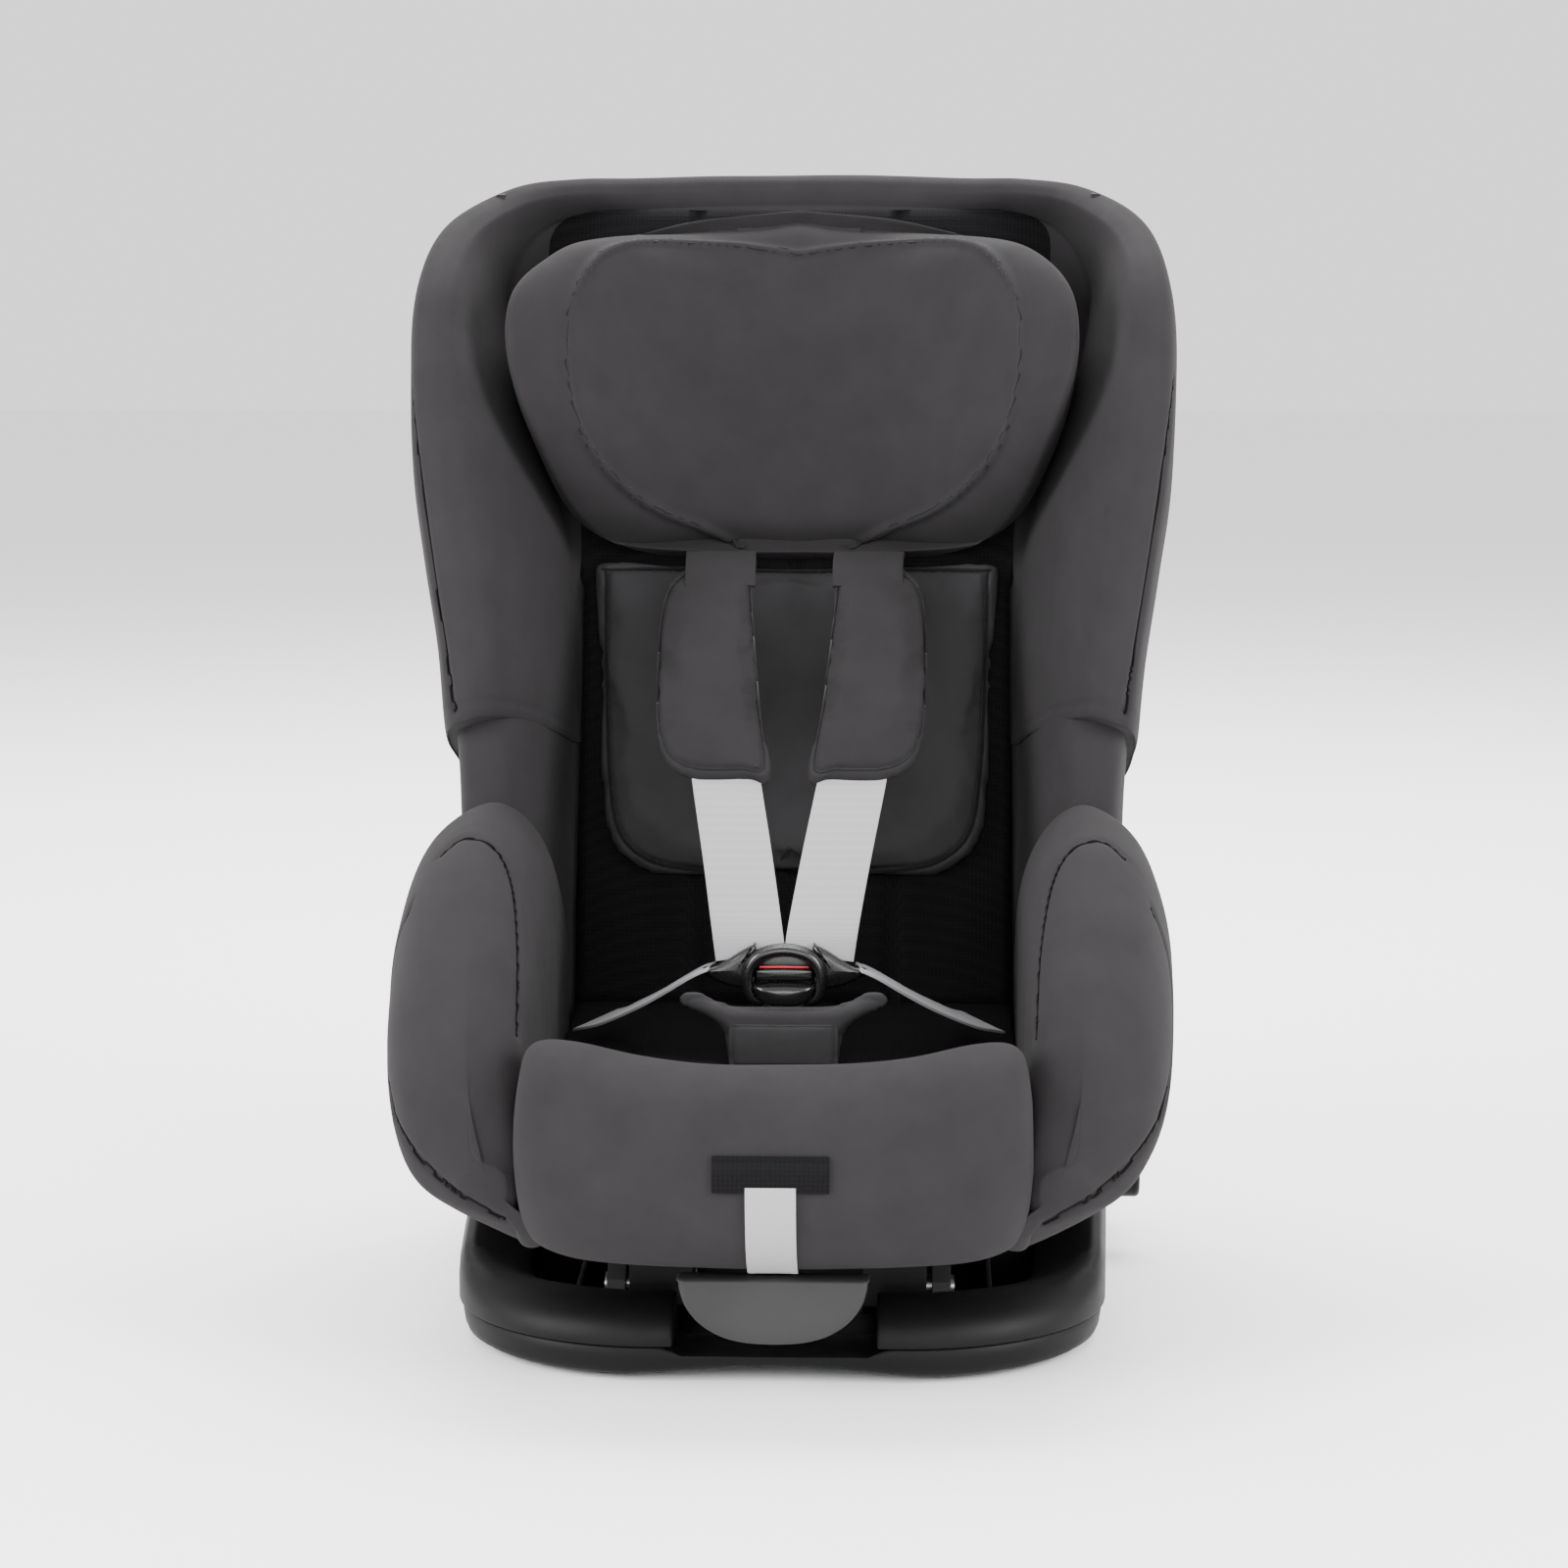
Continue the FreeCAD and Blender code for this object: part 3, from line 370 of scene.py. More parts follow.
def ripple(thing, size, height, seed=0.0):
    """Uneven fabric: the skin moved a little along its normals by smooth noise."""
    normals = [v.normal.copy() for v in thing.data.vertices]
    offset = Vector((seed, seed * 1.7, -seed))
    for v, normal in zip(thing.data.vertices, normals):
        v.co += normal * height * MM * noise.noise(v.co / (size * MM) + offset)
    thing.data.update()


# ---- materials


def feed(node, values):
    """Sets a node's plain input values from (name, value) pairs."""
    for key, value in values:
        node.inputs[key].default_value = value
    return node


class Paint:
    """Builds one node material step by step."""

    def __init__(self, name, color, roughness, metallic=0.0):
        self.material = bpy.data.materials.new(name)
        self.material.use_nodes = True
        self.tree = self.material.node_tree
        self.shader = self.tree.nodes["Principled BSDF"]
        feed(self.shader, (("Base Color", (*color, 1)), ("Roughness", roughness),
                           ("Metallic", metallic)))
        self.color = color
        self.bumps = []
        self.place = self.node("ShaderNodeTexCoord").outputs["Object"]

    def node(self, kind, inputs=(), **settings):
        made = self.tree.nodes.new(kind)
        for key, value in settings.items():
            setattr(made, key, value)
        return feed(made, inputs)

    def link(self, source, target):
        self.tree.links.new(source, target)

    def noise(self, scale, detail=3.0, rough=0.5):
        made = self.node("ShaderNodeTexNoise", (("Scale", scale), ("Detail", detail),
                                                ("Roughness", rough)))
        self.link(self.place, made.inputs["Vector"])
        return made.outputs["Fac"]

    def weave(self, scale, axes=("X", "Z"), lean=0.0):
        """Two crossing wave patterns multiplied, like the threads of a plain cloth."""
        turned = self.node("ShaderNodeMapping", [("Rotation", (lean, 0, 0))])
        self.link(self.place, turned.inputs["Vector"])
        waves = []
        for axis in axes:
            wave = self.node("ShaderNodeTexWave",
                             (("Scale", scale), ("Distortion", 0.6), ("Detail", 1.0)),
                             wave_type="BANDS", bands_direction=axis)
            self.link(turned.outputs["Vector"], wave.inputs["Vector"])
            waves.append(wave.outputs["Fac"])
        if len(waves) == 1:
            return waves[0]
        both = self.node("ShaderNodeMath", operation="MULTIPLY")
        self.link(waves[0], both.inputs[0])
        self.link(waves[1], both.inputs[1])
        return both.outputs[0]

    def vary(self, factor, low, high):
        """Base colour from low to high times the main colour, following a pattern."""
        ramp = self.node("ShaderNodeValToRGB")
        stops = zip(ramp.color_ramp.elements, (0.25, 0.75), (low, high))
        for stop, position, level in stops:
            stop.position = position
            stop.color = (*(c * level for c in self.color), 1)
        self.link(factor, ramp.inputs["Fac"])
        self.link(ramp.outputs["Color"], self.shader.inputs["Base Color"])
        return self

    def roughen(self, factor, low, high):
        span = self.node("ShaderNodeMapRange", (("To Min", low), ("To Max", high)))
        self.link(factor, span.inputs["Value"])
        self.link(span.outputs["Result"], self.shader.inputs["Roughness"])
        return self

    def bump(self, factor, distance, strength=1.0):
        made = self.node("ShaderNodeBump",
                         (("Distance", distance * MM), ("Strength", strength)))
        self.link(factor, made.inputs["Height"])
        if self.bumps:
            self.link(self.bumps[-1].outputs["Normal"], made.inputs["Normal"])
        self.bumps.append(made)
        self.link(made.outputs["Normal"], self.shader.inputs["Normal"])
        return self

    def soften(self, radius):
        """Sharp edges catch the light as if they had a small radius."""
        self.bumps.append(self.node("ShaderNodeBevel", [("Radius", radius * MM)], samples=4))

    def cells(self, scale, spread=1.0):
        made = self.node("ShaderNodeTexVoronoi", (("Scale", scale), ("Randomness", spread)),
                         feature="F1")
        self.link(self.place, made.inputs["Vector"])
        return made.outputs["Distance"]

    def sheen(self, weight, roughness):
        feed(self.shader, (("Sheen Weight", weight), ("Sheen Roughness", roughness),
                           ("Sheen Tint", (1, 1, 1, 1))))
        return self

    def shine(self, level):
        feed(self.shader, [("Specular IOR Level", level)])
        return self


def knit(name, color, sheen):
    """Soft knitted cover fabric with a fine rib."""
    paint = Paint(name, color, 0.88)
    fine = paint.weave(700)
    paint.vary(paint.noise(38, 4), 0.90, 1.10)
    paint.bump(fine, 0.12, 0.5)
    paint.bump(paint.noise(900, 2), 0.10, 0.4)
    paint.bump(paint.noise(22, 3), 1.2, 0.25)
    paint.roughen(paint.noise(120, 2), 0.82, 0.95)
    return paint.shine(0.12).sheen(sheen, 0.5).material


def spacer_mesh(name, color):
    """Black breathable mesh: a field of small round holes."""
    paint = Paint(name, color, 0.8)
    holes = paint.cells(420, 0.12)
    paint.vary(holes, 0.35, 1.5)
    paint.bump(holes, 0.5, 0.7)
    paint.bump(paint.noise(18, 2), 1.0, 0.2)
    return paint.shine(0.1).sheen(0.01, 0.5).material


def webbing_weave(name, color):
    """Polyester webbing: diagonal twill ribs."""
    paint = Paint(name, color, 0.55)
    ribs = paint.weave(260, ("Z",), lean=math.radians(-35))
    cross = paint.weave(900, ("X",))
    paint.vary(ribs, 0.96, 1.02)
    paint.bump(ribs, 0.12, 0.35)
    paint.bump(cross, 0.08, 0.4)
    paint.roughen(paint.noise(90, 3), 0.45, 0.65)
    return paint.sheen(0.15, 0.3).material


def moulded(name, color, roughness, grain=0.06):
    """Injection-moulded plastic with a fine spark-eroded grain."""
    paint = Paint(name, color, roughness)
    paint.soften(0.9)
    paint.vary(paint.noise(14, 4), 0.88, 1.12)
    paint.roughen(paint.noise(55, 5, 0.6), roughness - 0.08, roughness + 0.10)
    paint.bump(paint.noise(1500, 2, 0.6), grain, 0.6)
    paint.bump(paint.noise(26, 2), 0.5, 0.08)
    return paint.shine(0.12).material


def glossy(name, color, roughness):
    """Polished plastic with a few fine scratches."""
    paint = Paint(name, color, roughness)
    paint.roughen(paint.noise(220, 6, 0.7), roughness - 0.05, roughness + 0.12)
    paint.vary(paint.noise(30, 2), 0.92, 1.08)
    paint.bump(paint.noise(40, 1), 0.2, 0.05)
    feed(paint.shader, (("Coat Weight", 0.15), ("Coat Roughness", 0.08)))
    return paint.material


STEEL_ROUGHNESS = 0.32


def steel(name, color):
    paint = Paint(name, color, STEEL_ROUGHNESS, metallic=1.0)
    paint.roughen(paint.noise(400, 5, 0.7), STEEL_ROUGHNESS - 0.08, STEEL_ROUGHNESS + 0.14)
    paint.vary(paint.noise(60, 4), 0.88, 1.08)
    paint.bump(paint.noise(900, 3), 0.04, 0.4)
    return paint.material


def bead_foam(name, color):
    """Moulded bead foam: rounded cells pressed together."""
    paint = Paint(name, color, 0.75)
    cells = paint.cells(260)
    paint.vary(cells, 1.02, 0.84)
    paint.bump(cells, -0.5, 0.6)
    return paint.material


def rubber(name, color):
    paint = Paint(name, color, 0.78)
    paint.vary(paint.noise(80, 4), 0.8, 1.2)
    paint.bump(paint.noise(700, 3), 0.1, 0.6)
    return paint.material


LOOKS = {
    "cover_fabric": (knit, (0.0162, 0.0150, 0.0160), 0.012),
    "mesh_fabric": (spacer_mesh, (0.0022, 0.0022, 0.0028)),
    "foam": (bead_foam, (0.72, 0.72, 0.70)),
    "shell_plastic": (moulded, (0.010, 0.010, 0.0105), 0.5),
    "base_plastic": (moulded, (0.0034, 0.0034, 0.0036), 0.5),
    "handle_plastic": (moulded, (0.024, 0.024, 0.024), 0.42),
    "webbing": (webbing_weave, (0.26, 0.26, 0.27)),
    "buckle_plastic": (glossy, (0.004, 0.004, 0.0045), 0.24),
    "button_plastic": (glossy, (0.42, 0.008, 0.012), 0.35),
    "guide_plastic": (moulded, (0.15, 0.003, 0.003), 0.45),
    "steel": (steel, (0.56, 0.57, 0.59)),
    "frame_steel": (moulded, (0.020, 0.020, 0.021), 0.42, 0.12),
    "bush_plastic": (moulded, (0.60, 0.60, 0.57), 0.4),
    "foot_rubber": (rubber, (0.018, 0.018, 0.018)),
}
LOOKS = {name: make(name, *values) for name, (make, *values) in LOOKS.items()}
PAD_FABRIC = knit("pad_fabric", (0.0140, 0.0130, 0.0138), 0.01)
# Painted light: a lighter copy of the pad fabric, about twice the cover fabric's albedo. It stands
# in for light that doesn't reach the back pad and the crotch pad, which sit in shade.
PAD_FABRIC_PAINTED_LIGHT = knit("pad_fabric_painted_light", (0.0300, 0.0285, 0.0300), 0.01)
PIPING = knit("piping_fabric", (0.006, 0.006, 0.007), 0.1)
DARK_THREAD = moulded("dark_thread", (0.0015, 0.0015, 0.0016), 0.8)


def wear(things, slot, body, replaces=(), material=None):
    """Gives pieces their material and tells the frame what they belong to."""
    for thing in things if isinstance(things, list) else [things]:
        thing.data.materials.clear()
        thing.data.materials.append(material or LOOKS[slot])
        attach(thing, body)
        if replaces:
            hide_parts(*replaces)


def paint_frame():
    """Every CAD node gets the material of its record slot."""
    slots = {part["node"]: part["material_slot"] for part in frame["record"]["subparts"]}
    for name, thing in frame["nodes"].items():
        for holder in thing.material_slots:
            holder.material = LOOKS[slots[name]]
        if not thing.material_slots:
            thing.data.materials.append(LOOKS[slots[name]])


# ---- the backrest cover


# Stations up the right side and over the top: outer edge, crest and inner root as (x, up), and
# how far the crest stands in front of the back plane.
RIM = [
    ((203, 144), (176, 151), (134, 157), 130, 2),
    ((208, 190), (180, 192), (134, 194), 136, 2),
    ((216, 240), (188, 240), (136, 240), 143, 3),
    ((223, 290), (196, 289), (141, 288), 148, 10),
    ((226, 345), (202, 343), (158, 342), 149, 24),
    ((225, 402), (202, 397), (172, 396), 140, 30),
    ((212, 456), (193, 444), (176, 438), 100, 30),
    ((178, 494), (168, 480), (161, 471), 50, 28),
    ((140, 509), (137, 496), (133, 486), 22, 24),
    ((104, 514), (102, 500), (101, 489), 9, 14),
    ((52, 517), (52, 503), (51, 491), 4, 11),
    ((0, 518), (0, 504), (0, 492), 3, 11),
]


def toward(a, b, distance):
    """The point at a distance from a on the way to b."""
    span = max(math.dist(a, b), 1e-6)
    return mix(a, b, distance / span)


def rim_section(outer, crest, root, lip, floor):
    """One closed section of the cover: rear hem, outer side, rounded crest, inner slope, floor."""
    deep = max(lip, 14)
    inward = toward(root, crest, -floor)
    spots = [
        (toward(outer, root, 14), 45), (toward(outer, root, 3), 42), (outer, 30),
        (outer, 30 - 0.45 * deep), (toward(outer, crest, 1), 24 - 0.8 * deep),
        (mix(outer, crest, 0.22), 7 - 0.97 * lip), (mix(outer, crest, 0.6), 1 - lip), (crest, -lip),
        (mix(crest, root, 0.28), 0.06 * lip - lip), (mix(crest, root, 0.62), 0.32 * lip - lip),
        (mix(crest, root, 0.88), 0.66 * lip - lip), (root, -0.08 * lip - 2), (inward, -4),
        (inward, 5),
        (toward(outer, root, 16), 9),
    ]
    return [back(spot[0], depth, spot[1]) for spot, depth in spots]


def mirror_x(row):
    return [Vector((-v.x, v.y, v.z)) for v in row]


def drawn_in(row, share, shift):
    """A row shrunk toward its middle and shifted, which closes an end softly."""
    middle = sum(row, Vector()) / len(row)
    return [middle.lerp(v, share) + shift for v in row]


def make_wing_cover():
    half = [rim_section(*station) for station in RIM]
    half.insert(0, drawn_in(half[0], 0.93, back(0, 0, -4) - back(0, 0, 0)))
    rows = half + [mirror_x(row) for row in reversed(half[:-1])]
    cover = loft("wing_cover", smooth_rows(rows, 5, 7))
    subdivide(cover)
    ripple(cover, 60, 0.9, 2.0)
    cords = []
    for side, word in SIDES:
        edge = [(192, 150), (198, 186), (205, 228), (211, 268), (217, 310), (221, 345)]
        line = [back(side * x, -200, up) for x, up in smooth_line(edge, 12)]
        line = cast_on(cover, line, 160, INTO_BACK)
        cords.append(seam_cord("cover_seam_" + word, cover, line))
    hem = [(134, 160), (150, 158), (172, 155), (190, 152), (202, 148)]
    for side, word in SIDES:
        line = [back(side * x, -200, up) for x, up in smooth_line(hem, 10)]
        line = cast_on(cover, line, 80, INTO_BACK)
        groove(cover, line, 1.4, 0.9)
    return cover, cords


# The covered waist under the cover's hem: outer edge, crest and root as (x, up), and the lip.
WAIST = [
    ((199, 168), (171, 170), (136, 172), 117, 2), ((198, 146), (168, 147), (136, 149), 116, 2),
    ((195, 112), (166, 112), (136, 112), 115, 2), ((193, 75), (164, 75), (136, 75), 113, 2),
    ((190, 40), (163, 40), (136, 40), 110, 2), ((188, 5), (161, 5), (136, 5), 106, 2),
    ((186, -22), (160, -22), (136, -22), 92, 2), ((184, -40), (160, -40), (138, -40), 70, 2),
    ((181, -52), (160, -52), (140, -52), 50, 2),
]


def make_waist(side, word):
    rows = [rim_section(*station) for station in WAIST]
    if side < 0:
        rows = [mirror_x(row) for row in rows]
    waist = loft("waist_" + word, smooth_rows(rows, 4, 5))
    ripple(waist, 45, 0.8, 5.0 + side)
    return waist


# ---- arms and front roll


# Stations along the arm from the back: y, top, outer half width, underside.
ARM = [
    (44, 224, 209, 104), (32, 254, 211, 98), (8, 273, 213, 88), (-25, 279, 213, 81),
    (-62, 279, 213, 79), (-102, 272, 212, 80), (-140, 253, 210, 82), (-174, 226, 206, 80),
    (-203, 195, 198, 74), (-222, 163, 187, 74), (-233, 132, 170, 82),
]


def arm_section(y, top, outer, low):
    tall = top - low
    return [
        (131, y, low + 0.45 * tall), (131, y, top - 0.40 * tall), (133, y, top - 0.24 * tall),
        (141, y, top - 0.11 * tall), (155, y, top - 0.02 * tall), (0.5 * outer + 66, y, top),
        (outer - 16, y, top - 0.09 * tall), (outer - 3, y, top - 0.26 * tall),
        (outer, y, top - 0.45 * tall), (outer - 4, y, top - 0.62 * tall),
        (0.88 * outer, y, low + 0.23 * tall), (0.76 * outer, y, low + 0.10 * tall),
        (0.66 * outer, y, low + 0.01 * tall), (132, y, low + 0.06 * tall),
    ]


# Seams of an arm as seen from the front: (x, z).
ARM_SEAMS = {
    "arm_panel_seam": [(186, 262), (176, 270), (164, 271), (152, 263), (143, 245), (137, 215),
                       (134, 180)],
    "arm_outer_seam": [(199, 238), (207, 215), (209, 190), (206, 160), (199, 142)],
    "arm_low_seam": [(205, 152), (196, 136), (178, 118), (158, 104), (138, 92)],
}


def make_arm(side, word):
    rows = [[point(side * x, y, z) for x, y, z in arm_section(*station)] for station in ARM]
    rows.append(drawn_in(rows[-1], 0.62, point(0, -4.5, 0)))
    arm = loft("arm_" + word, smooth_rows(rows, 5, 6))
    subdivide(arm)
    cords = []
    ripple(arm, 55, 1.1, 9.0 + side)
    for name, spots in ARM_SEAMS.items():
        line = [point(side * x, -400, z) for x, z in smooth_line(spots, 10)]
        line = cast_on(arm, line, 160, REARWARD)
        cords.append(seam_cord(name + "_" + word, arm, line))
    return arm, cords


# The roll's middle section as (y, z), from its rear foot over the top and round underneath.
ROLL = [
    (-200, 150), (-203, 168), (-214, 177), (-230, 178), (-247, 170), (-260, 152), (-266, 130),
    (-266, 108), (-259, 88), (-244, 72), (-226, 66), (-211, 72), (-205, 95), (-201, 125),
]

# Across the roll: x, rise of the top, rise of the underside, how far the front draws back.
ROLL_WIDTH = [
    (0, -8, 0, 0), (35, -7, 0.2, 0), (70, -3, 1.5, 1), (100, 3, 4, 4), (118, 4, 9, 9),
    (127, -1, 16, 15), (130.5, -12, 26, 22),
]


def roll_row(x, top, low, draw):
    row = []
    for y, z in ROLL:
        high = min(max((z - 66) / 112, 0.0), 1.0)
        forward = min(max((-205 - y) / 60, 0.0), 1.0)
        row.append(point(x, y + draw * forward, z + top * high + low * (1 - high)))
    return row


def make_roll():
    right = [roll_row(*station) for station in ROLL_WIDTH]
    rows = [mirror_x(row) for row in reversed(right[1:])] + right
    closing = drawn_in(rows[-1], 0.6, point(2, 0, 0))
    rows = [mirror_x(closing)] + rows + [closing]
    roll = loft("front_roll", smooth_rows(rows, 4, 6))
    subdivide(roll)
    ripple(roll, 70, 1.0, 3.0)
    cut_away(roll, box_form("rod_slot", (-15, 15), (-229, -186), (40, 121)))
    return roll


# ---- headrest


HEAD_OUTLINE = [
    (0, 267), (50, 267), (98, 270), (122, 277), (138, 291), (152, 316), (162, 342), (167, 366),
    (166, 388), (160, 407), (150, 424), (136, 441), (116, 457), (90, 469), (56, 478), (0, 483),
]
HEAD_SEAM = [
    (33, 272), (46, 279), (62, 284), (82, 289), (103, 299), (119, 313), (129, 332), (134, 360),
    (134, 388), (129, 411), (118, 433), (103, 447), (80, 455), (40, 458), (0, 453),
]


def head_depth(x, up, share):
    """How far the cushion's front stands before the back plane."""
    wide = min(abs(x) / 150, 1.1)
    hollow = 30 + 108 * wide ** 2.5
    low = min(max((330 - up) / 62, 0.0), 1.0)
    high = min(max((up - 440) / 45, 0.0), 1.0)
    hollow -= 34 * low ** 1.6 * wide + 8 * low ** 2
    hollow -= 52 * high ** 1.5 * wide
    edge = max((share - 0.80) / 0.20, 0.0)
    return -hollow + 26 * edge ** 2.4


def make_headrest():
    half = smooth_line(HEAD_OUTLINE, 10)
    whole = half[:-1] + [(-x, up) for x, up in reversed(half)][:-1]
    outline = even_line([(x, up, 0) for x, up in whole], 160, closed=True)
    centre = Vector((0, 385, 0))
    rows = []
    for depth, share in ((-13, 0.82), (-9, 0.90), (-14, 0.96), (-27, 1.0)):
        ring = [centre.lerp(dot, share) for dot in outline]
        rows.append([back(v.x, depth, v.y) for v in ring])
    for k in range(5):
        ring = [centre.lerp(dot, 1.0 + 0.006 * math.sin(math.pi * k / 4)) for dot in outline]
        rows.append([back(v.x, -27 + (head_depth(v.x, v.y, 1.0) + 26) * (0.2 * k + 0.1), v.y)
                     for v in ring])
    shares = [1.0, 0.99, 0.975, 0.95, 0.92, 0.885, 0.85, 0.81, 0.77, 0.72, 0.66, 0.60, 0.53, 0.46,
              0.38, 0.30, 0.22, 0.14, 0.06]
    for share in shares:
        ring = [centre.lerp(dot, share) for dot in outline]
        rows.append([back(v.x, head_depth(v.x, v.y, share), v.y) for v in ring])
    cushion = loft("headrest_cover", rows)
    modify(cushion, "SMOOTH", factor=0.5, iterations=6)
    subdivide(cushion, 2)
    ripple(cushion, 50, 0.8, 1.0)
    right = smooth_line(HEAD_SEAM, 8)
    seam = right[:-1] + [(-x, up) for x, up in reversed(right)]
    laid = cast_on(cushion, [back(x, -300, up) for x, up in seam], 300, INTO_BACK)
    cord = seam_cord("headrest_seam", cushion, laid, 2.6, 3.0, 0.8, 300)
    return cushion, cord


# ---- pads


PAD_SHARE = 0.98        # a pad's form is a little smaller than its outline before it swells


def pad_form(name, outline, place, thickness):
    """A closed form between two copies of an outline, ready to be blown up."""
    count = len(outline)
    middle = Vector((sum(p[0] for p in outline) / count, sum(p[1] for p in outline) / count))
    rings = []
    for depth, share in ((-0.5, 0.96), (0.0, 1.0), (0.5, 0.96)):
        ring = [middle.lerp(Vector(p[:2]), share * PAD_SHARE) for p in outline]
        rings.append([place(p.x, thickness * depth, p.y) for p in ring])
    return loft(name, rings)


def whole_outline(half, steps, count):
    """A closed smooth outline from the control points of its right half."""
    fine = smooth_line(half, steps)
    whole = [(x, z, 0) for x, z in fine] + [(-x, z, 0) for x, z in reversed(fine)]
    return [(p.x, p.y) for p in even_line(whole, count, closed=True)]


BACK_PAD = [(0, 64), (60, 64), (96, 70), (117, 90), (124, 130), (127, 190), (128, 262), (120, 268),
            (0, 268)]


def make_back_pad():
    outline = whole_outline(BACK_PAD, 8, 200)

    def place(x, depth, up):
        return back(x, depth - 9, up)

    pad = pad_form("back_pad_cover", outline, place, 14)
    swell(pad, pressure=4, cap=6, voxel=4)
    subdivide(pad)
    inner = [back(0.90 * x, -80, 166 + 0.90 * (up - 166)) for x, up in outline]
    laid = cast_on(pad, inner, 260, INTO_BACK, closed=True)
    groove(pad, laid, 1.8, 2.6)
    cords = []
    for share, name in ((0.985, "outer"), (0.90, "inner")):
        ring = [back(share * x, -80, 166 + share * (up - 166)) for x, up in outline]
        line = cast_on(pad, ring, 260, INTO_BACK, 0.3, closed=True)
        cords.append(tube("back_pad_piping_" + name, line, 1.3, closed=True, sides=7))
    ripple(pad, 40, 0.9, 7.0)
    return pad, cords


PAD_LEAN = math.atan2(100, 121)
SLEEVE = [(9, 0), (24, -1), (42, -1), (57, 1), (70, 9), (78, 26), (81, 52), (82, 85), (81, 120),
          (78, 141), (69, 155), (54, 161), (38, 162), (25, 161), (21, 128), (17, 85), (13, 42)]


def sleeve(side):
    """Puts (x, out, along) points in the plane of a shoulder pad."""
    def place(x, out, along):
        y = 10 + along * math.sin(PAD_LEAN) + out * math.cos(PAD_LEAN)
        z = 286 + along * math.cos(PAD_LEAN) - out * math.sin(PAD_LEAN)
        return point(side * x, y, z)
    return place


def make_shoulder_pad(side, word):
    place = sleeve(side)
    fine = smooth_line(SLEEVE, 8, closed=True)
    outline = [(p.x, p.y) for p in even_line([(x, z, 0) for x, z in fine], 120, closed=True)]
    pad = pad_form("shoulder_pad_cover_" + word, outline, place, 8)
    swell(pad, pressure=5, cap=5, voxel=3)
    subdivide(pad)
    inward = place(0, 1, 0) - place(0, 0, 0)
    centre = (54, 82)
    seams = []
    for share, radius, name in ((0.985, 1.1, "edge"), (0.88, 0.7, "seam")):
        ring = [mix(centre, p, share) for p in outline]
        ring = [place(x, -60, z) for x, z in ring]
        line = cast_on(pad, ring, 200, inward, 0.2, closed=True)
        if name == "seam":
            groove(pad, line, 1.6, 1.8)
            line = cast_on(pad, ring, 200, inward, 0.0, closed=True)
        seams.append(tube("shoulder_pad_" + name + "_" + word, line, radius, closed=True, sides=6))
    ripple(pad, 30, 0.7, 11.0 + side)
    return pad, seams


CROTCH = [(0, 140), (29, 140), (33, 143), (34, 153), (37, 161), (45, 168), (55, 173), (61, 178),
          (59, 183), (50, 184.5), (38, 179.5), (24, 176.8), (0, 176)]
CROTCH_PANEL = [(0, 138), (28, 138), (32, 141), (32.5, 152), (32, 163), (28, 166), (0, 166)]


def make_crotch_pad():
    """The T-shaped pad under the buckle and the hemmed panel on its stem."""
    made = []
    for name, half, middle, depth in (("crotch_pad_cover", CROTCH, -78.5, 5),
                                      ("crotch_pad_panel", CROTCH_PANEL, -83.5, 3)):
        def place(x, out, up):
            return point(x, middle + out - 0.16 * (up - 165), up)

        outline = whole_outline(half, 6, 110)
        pad = pad_form(name, outline, place, depth)
        swell(pad, pressure=5, cap=2, voxel=2.5)
        subdivide(pad)
        ring = [point(0.88 * x, -140, 156 + 0.84 * (z - 156)) for x, z in outline]
        line = cast_on(pad, ring, 160, point(0, 1, 0), 0.0, closed=True)
        groove(pad, line, 1.1, 0.9)
        ripple(pad, 25, 0.5, 4.0)
        made.append(pad)
    return made


# ---- liners


SEAT_TOP = [(-196, 162), (-170, 155), (-120, 146), (-60, 142), (0, 141), (40, 143), (70, 147),
            (84, 152)]


def quilted(half, channels, top, under):
    """One row of a liner: the sewn side across, then the plain side back again."""
    row = []
    for k in range(49):
        x = -half + 2 * half * k / 48
        row.append(top(x, sum(math.exp(-((x - c) / 3.0) ** 2) for c in channels)))
    return row + [under(half - 2 * half * k / 12) for k in range(13)]


def make_seat_liner():
    """The seat's mesh liner: crowned across, with four sewn channels along it."""
    rows = [quilted(129.5, (-86, -30, 30, 86),
                    lambda x, dip: point(x, y, z + 4 * (1 - (x / 130) ** 4) - 4 - 3.2 * dip),
                    lambda x: point(x, y, z - 14)) for y, z in smooth_line(SEAT_TOP, 5)]
    return loft("seat_liner", rows)


def make_back_liner():
    """The backrest's mesh liner, with sewn channels up it."""
    rows = []
    for step in range(61):
        up = -6 + 494 * step / 60
        wide = 130 if up < 250 else 130 + min((up - 250) / 90, 1) * 36
        rows.append(quilted(
            wide, (-60, 0, 60),
            lambda x, dip: back(x, -4 - 5 * (1 - (x / wide) ** 4) + 3.5 * dip, up),
            lambda x: back(x, 6, up)))
    return loft("back_liner", rows)


# ---- harness


def back_mm(x, depth, up):
    """A point of the leaned backrest frame, in millimetres."""
    return tuple(back(x, depth, up) / MM)


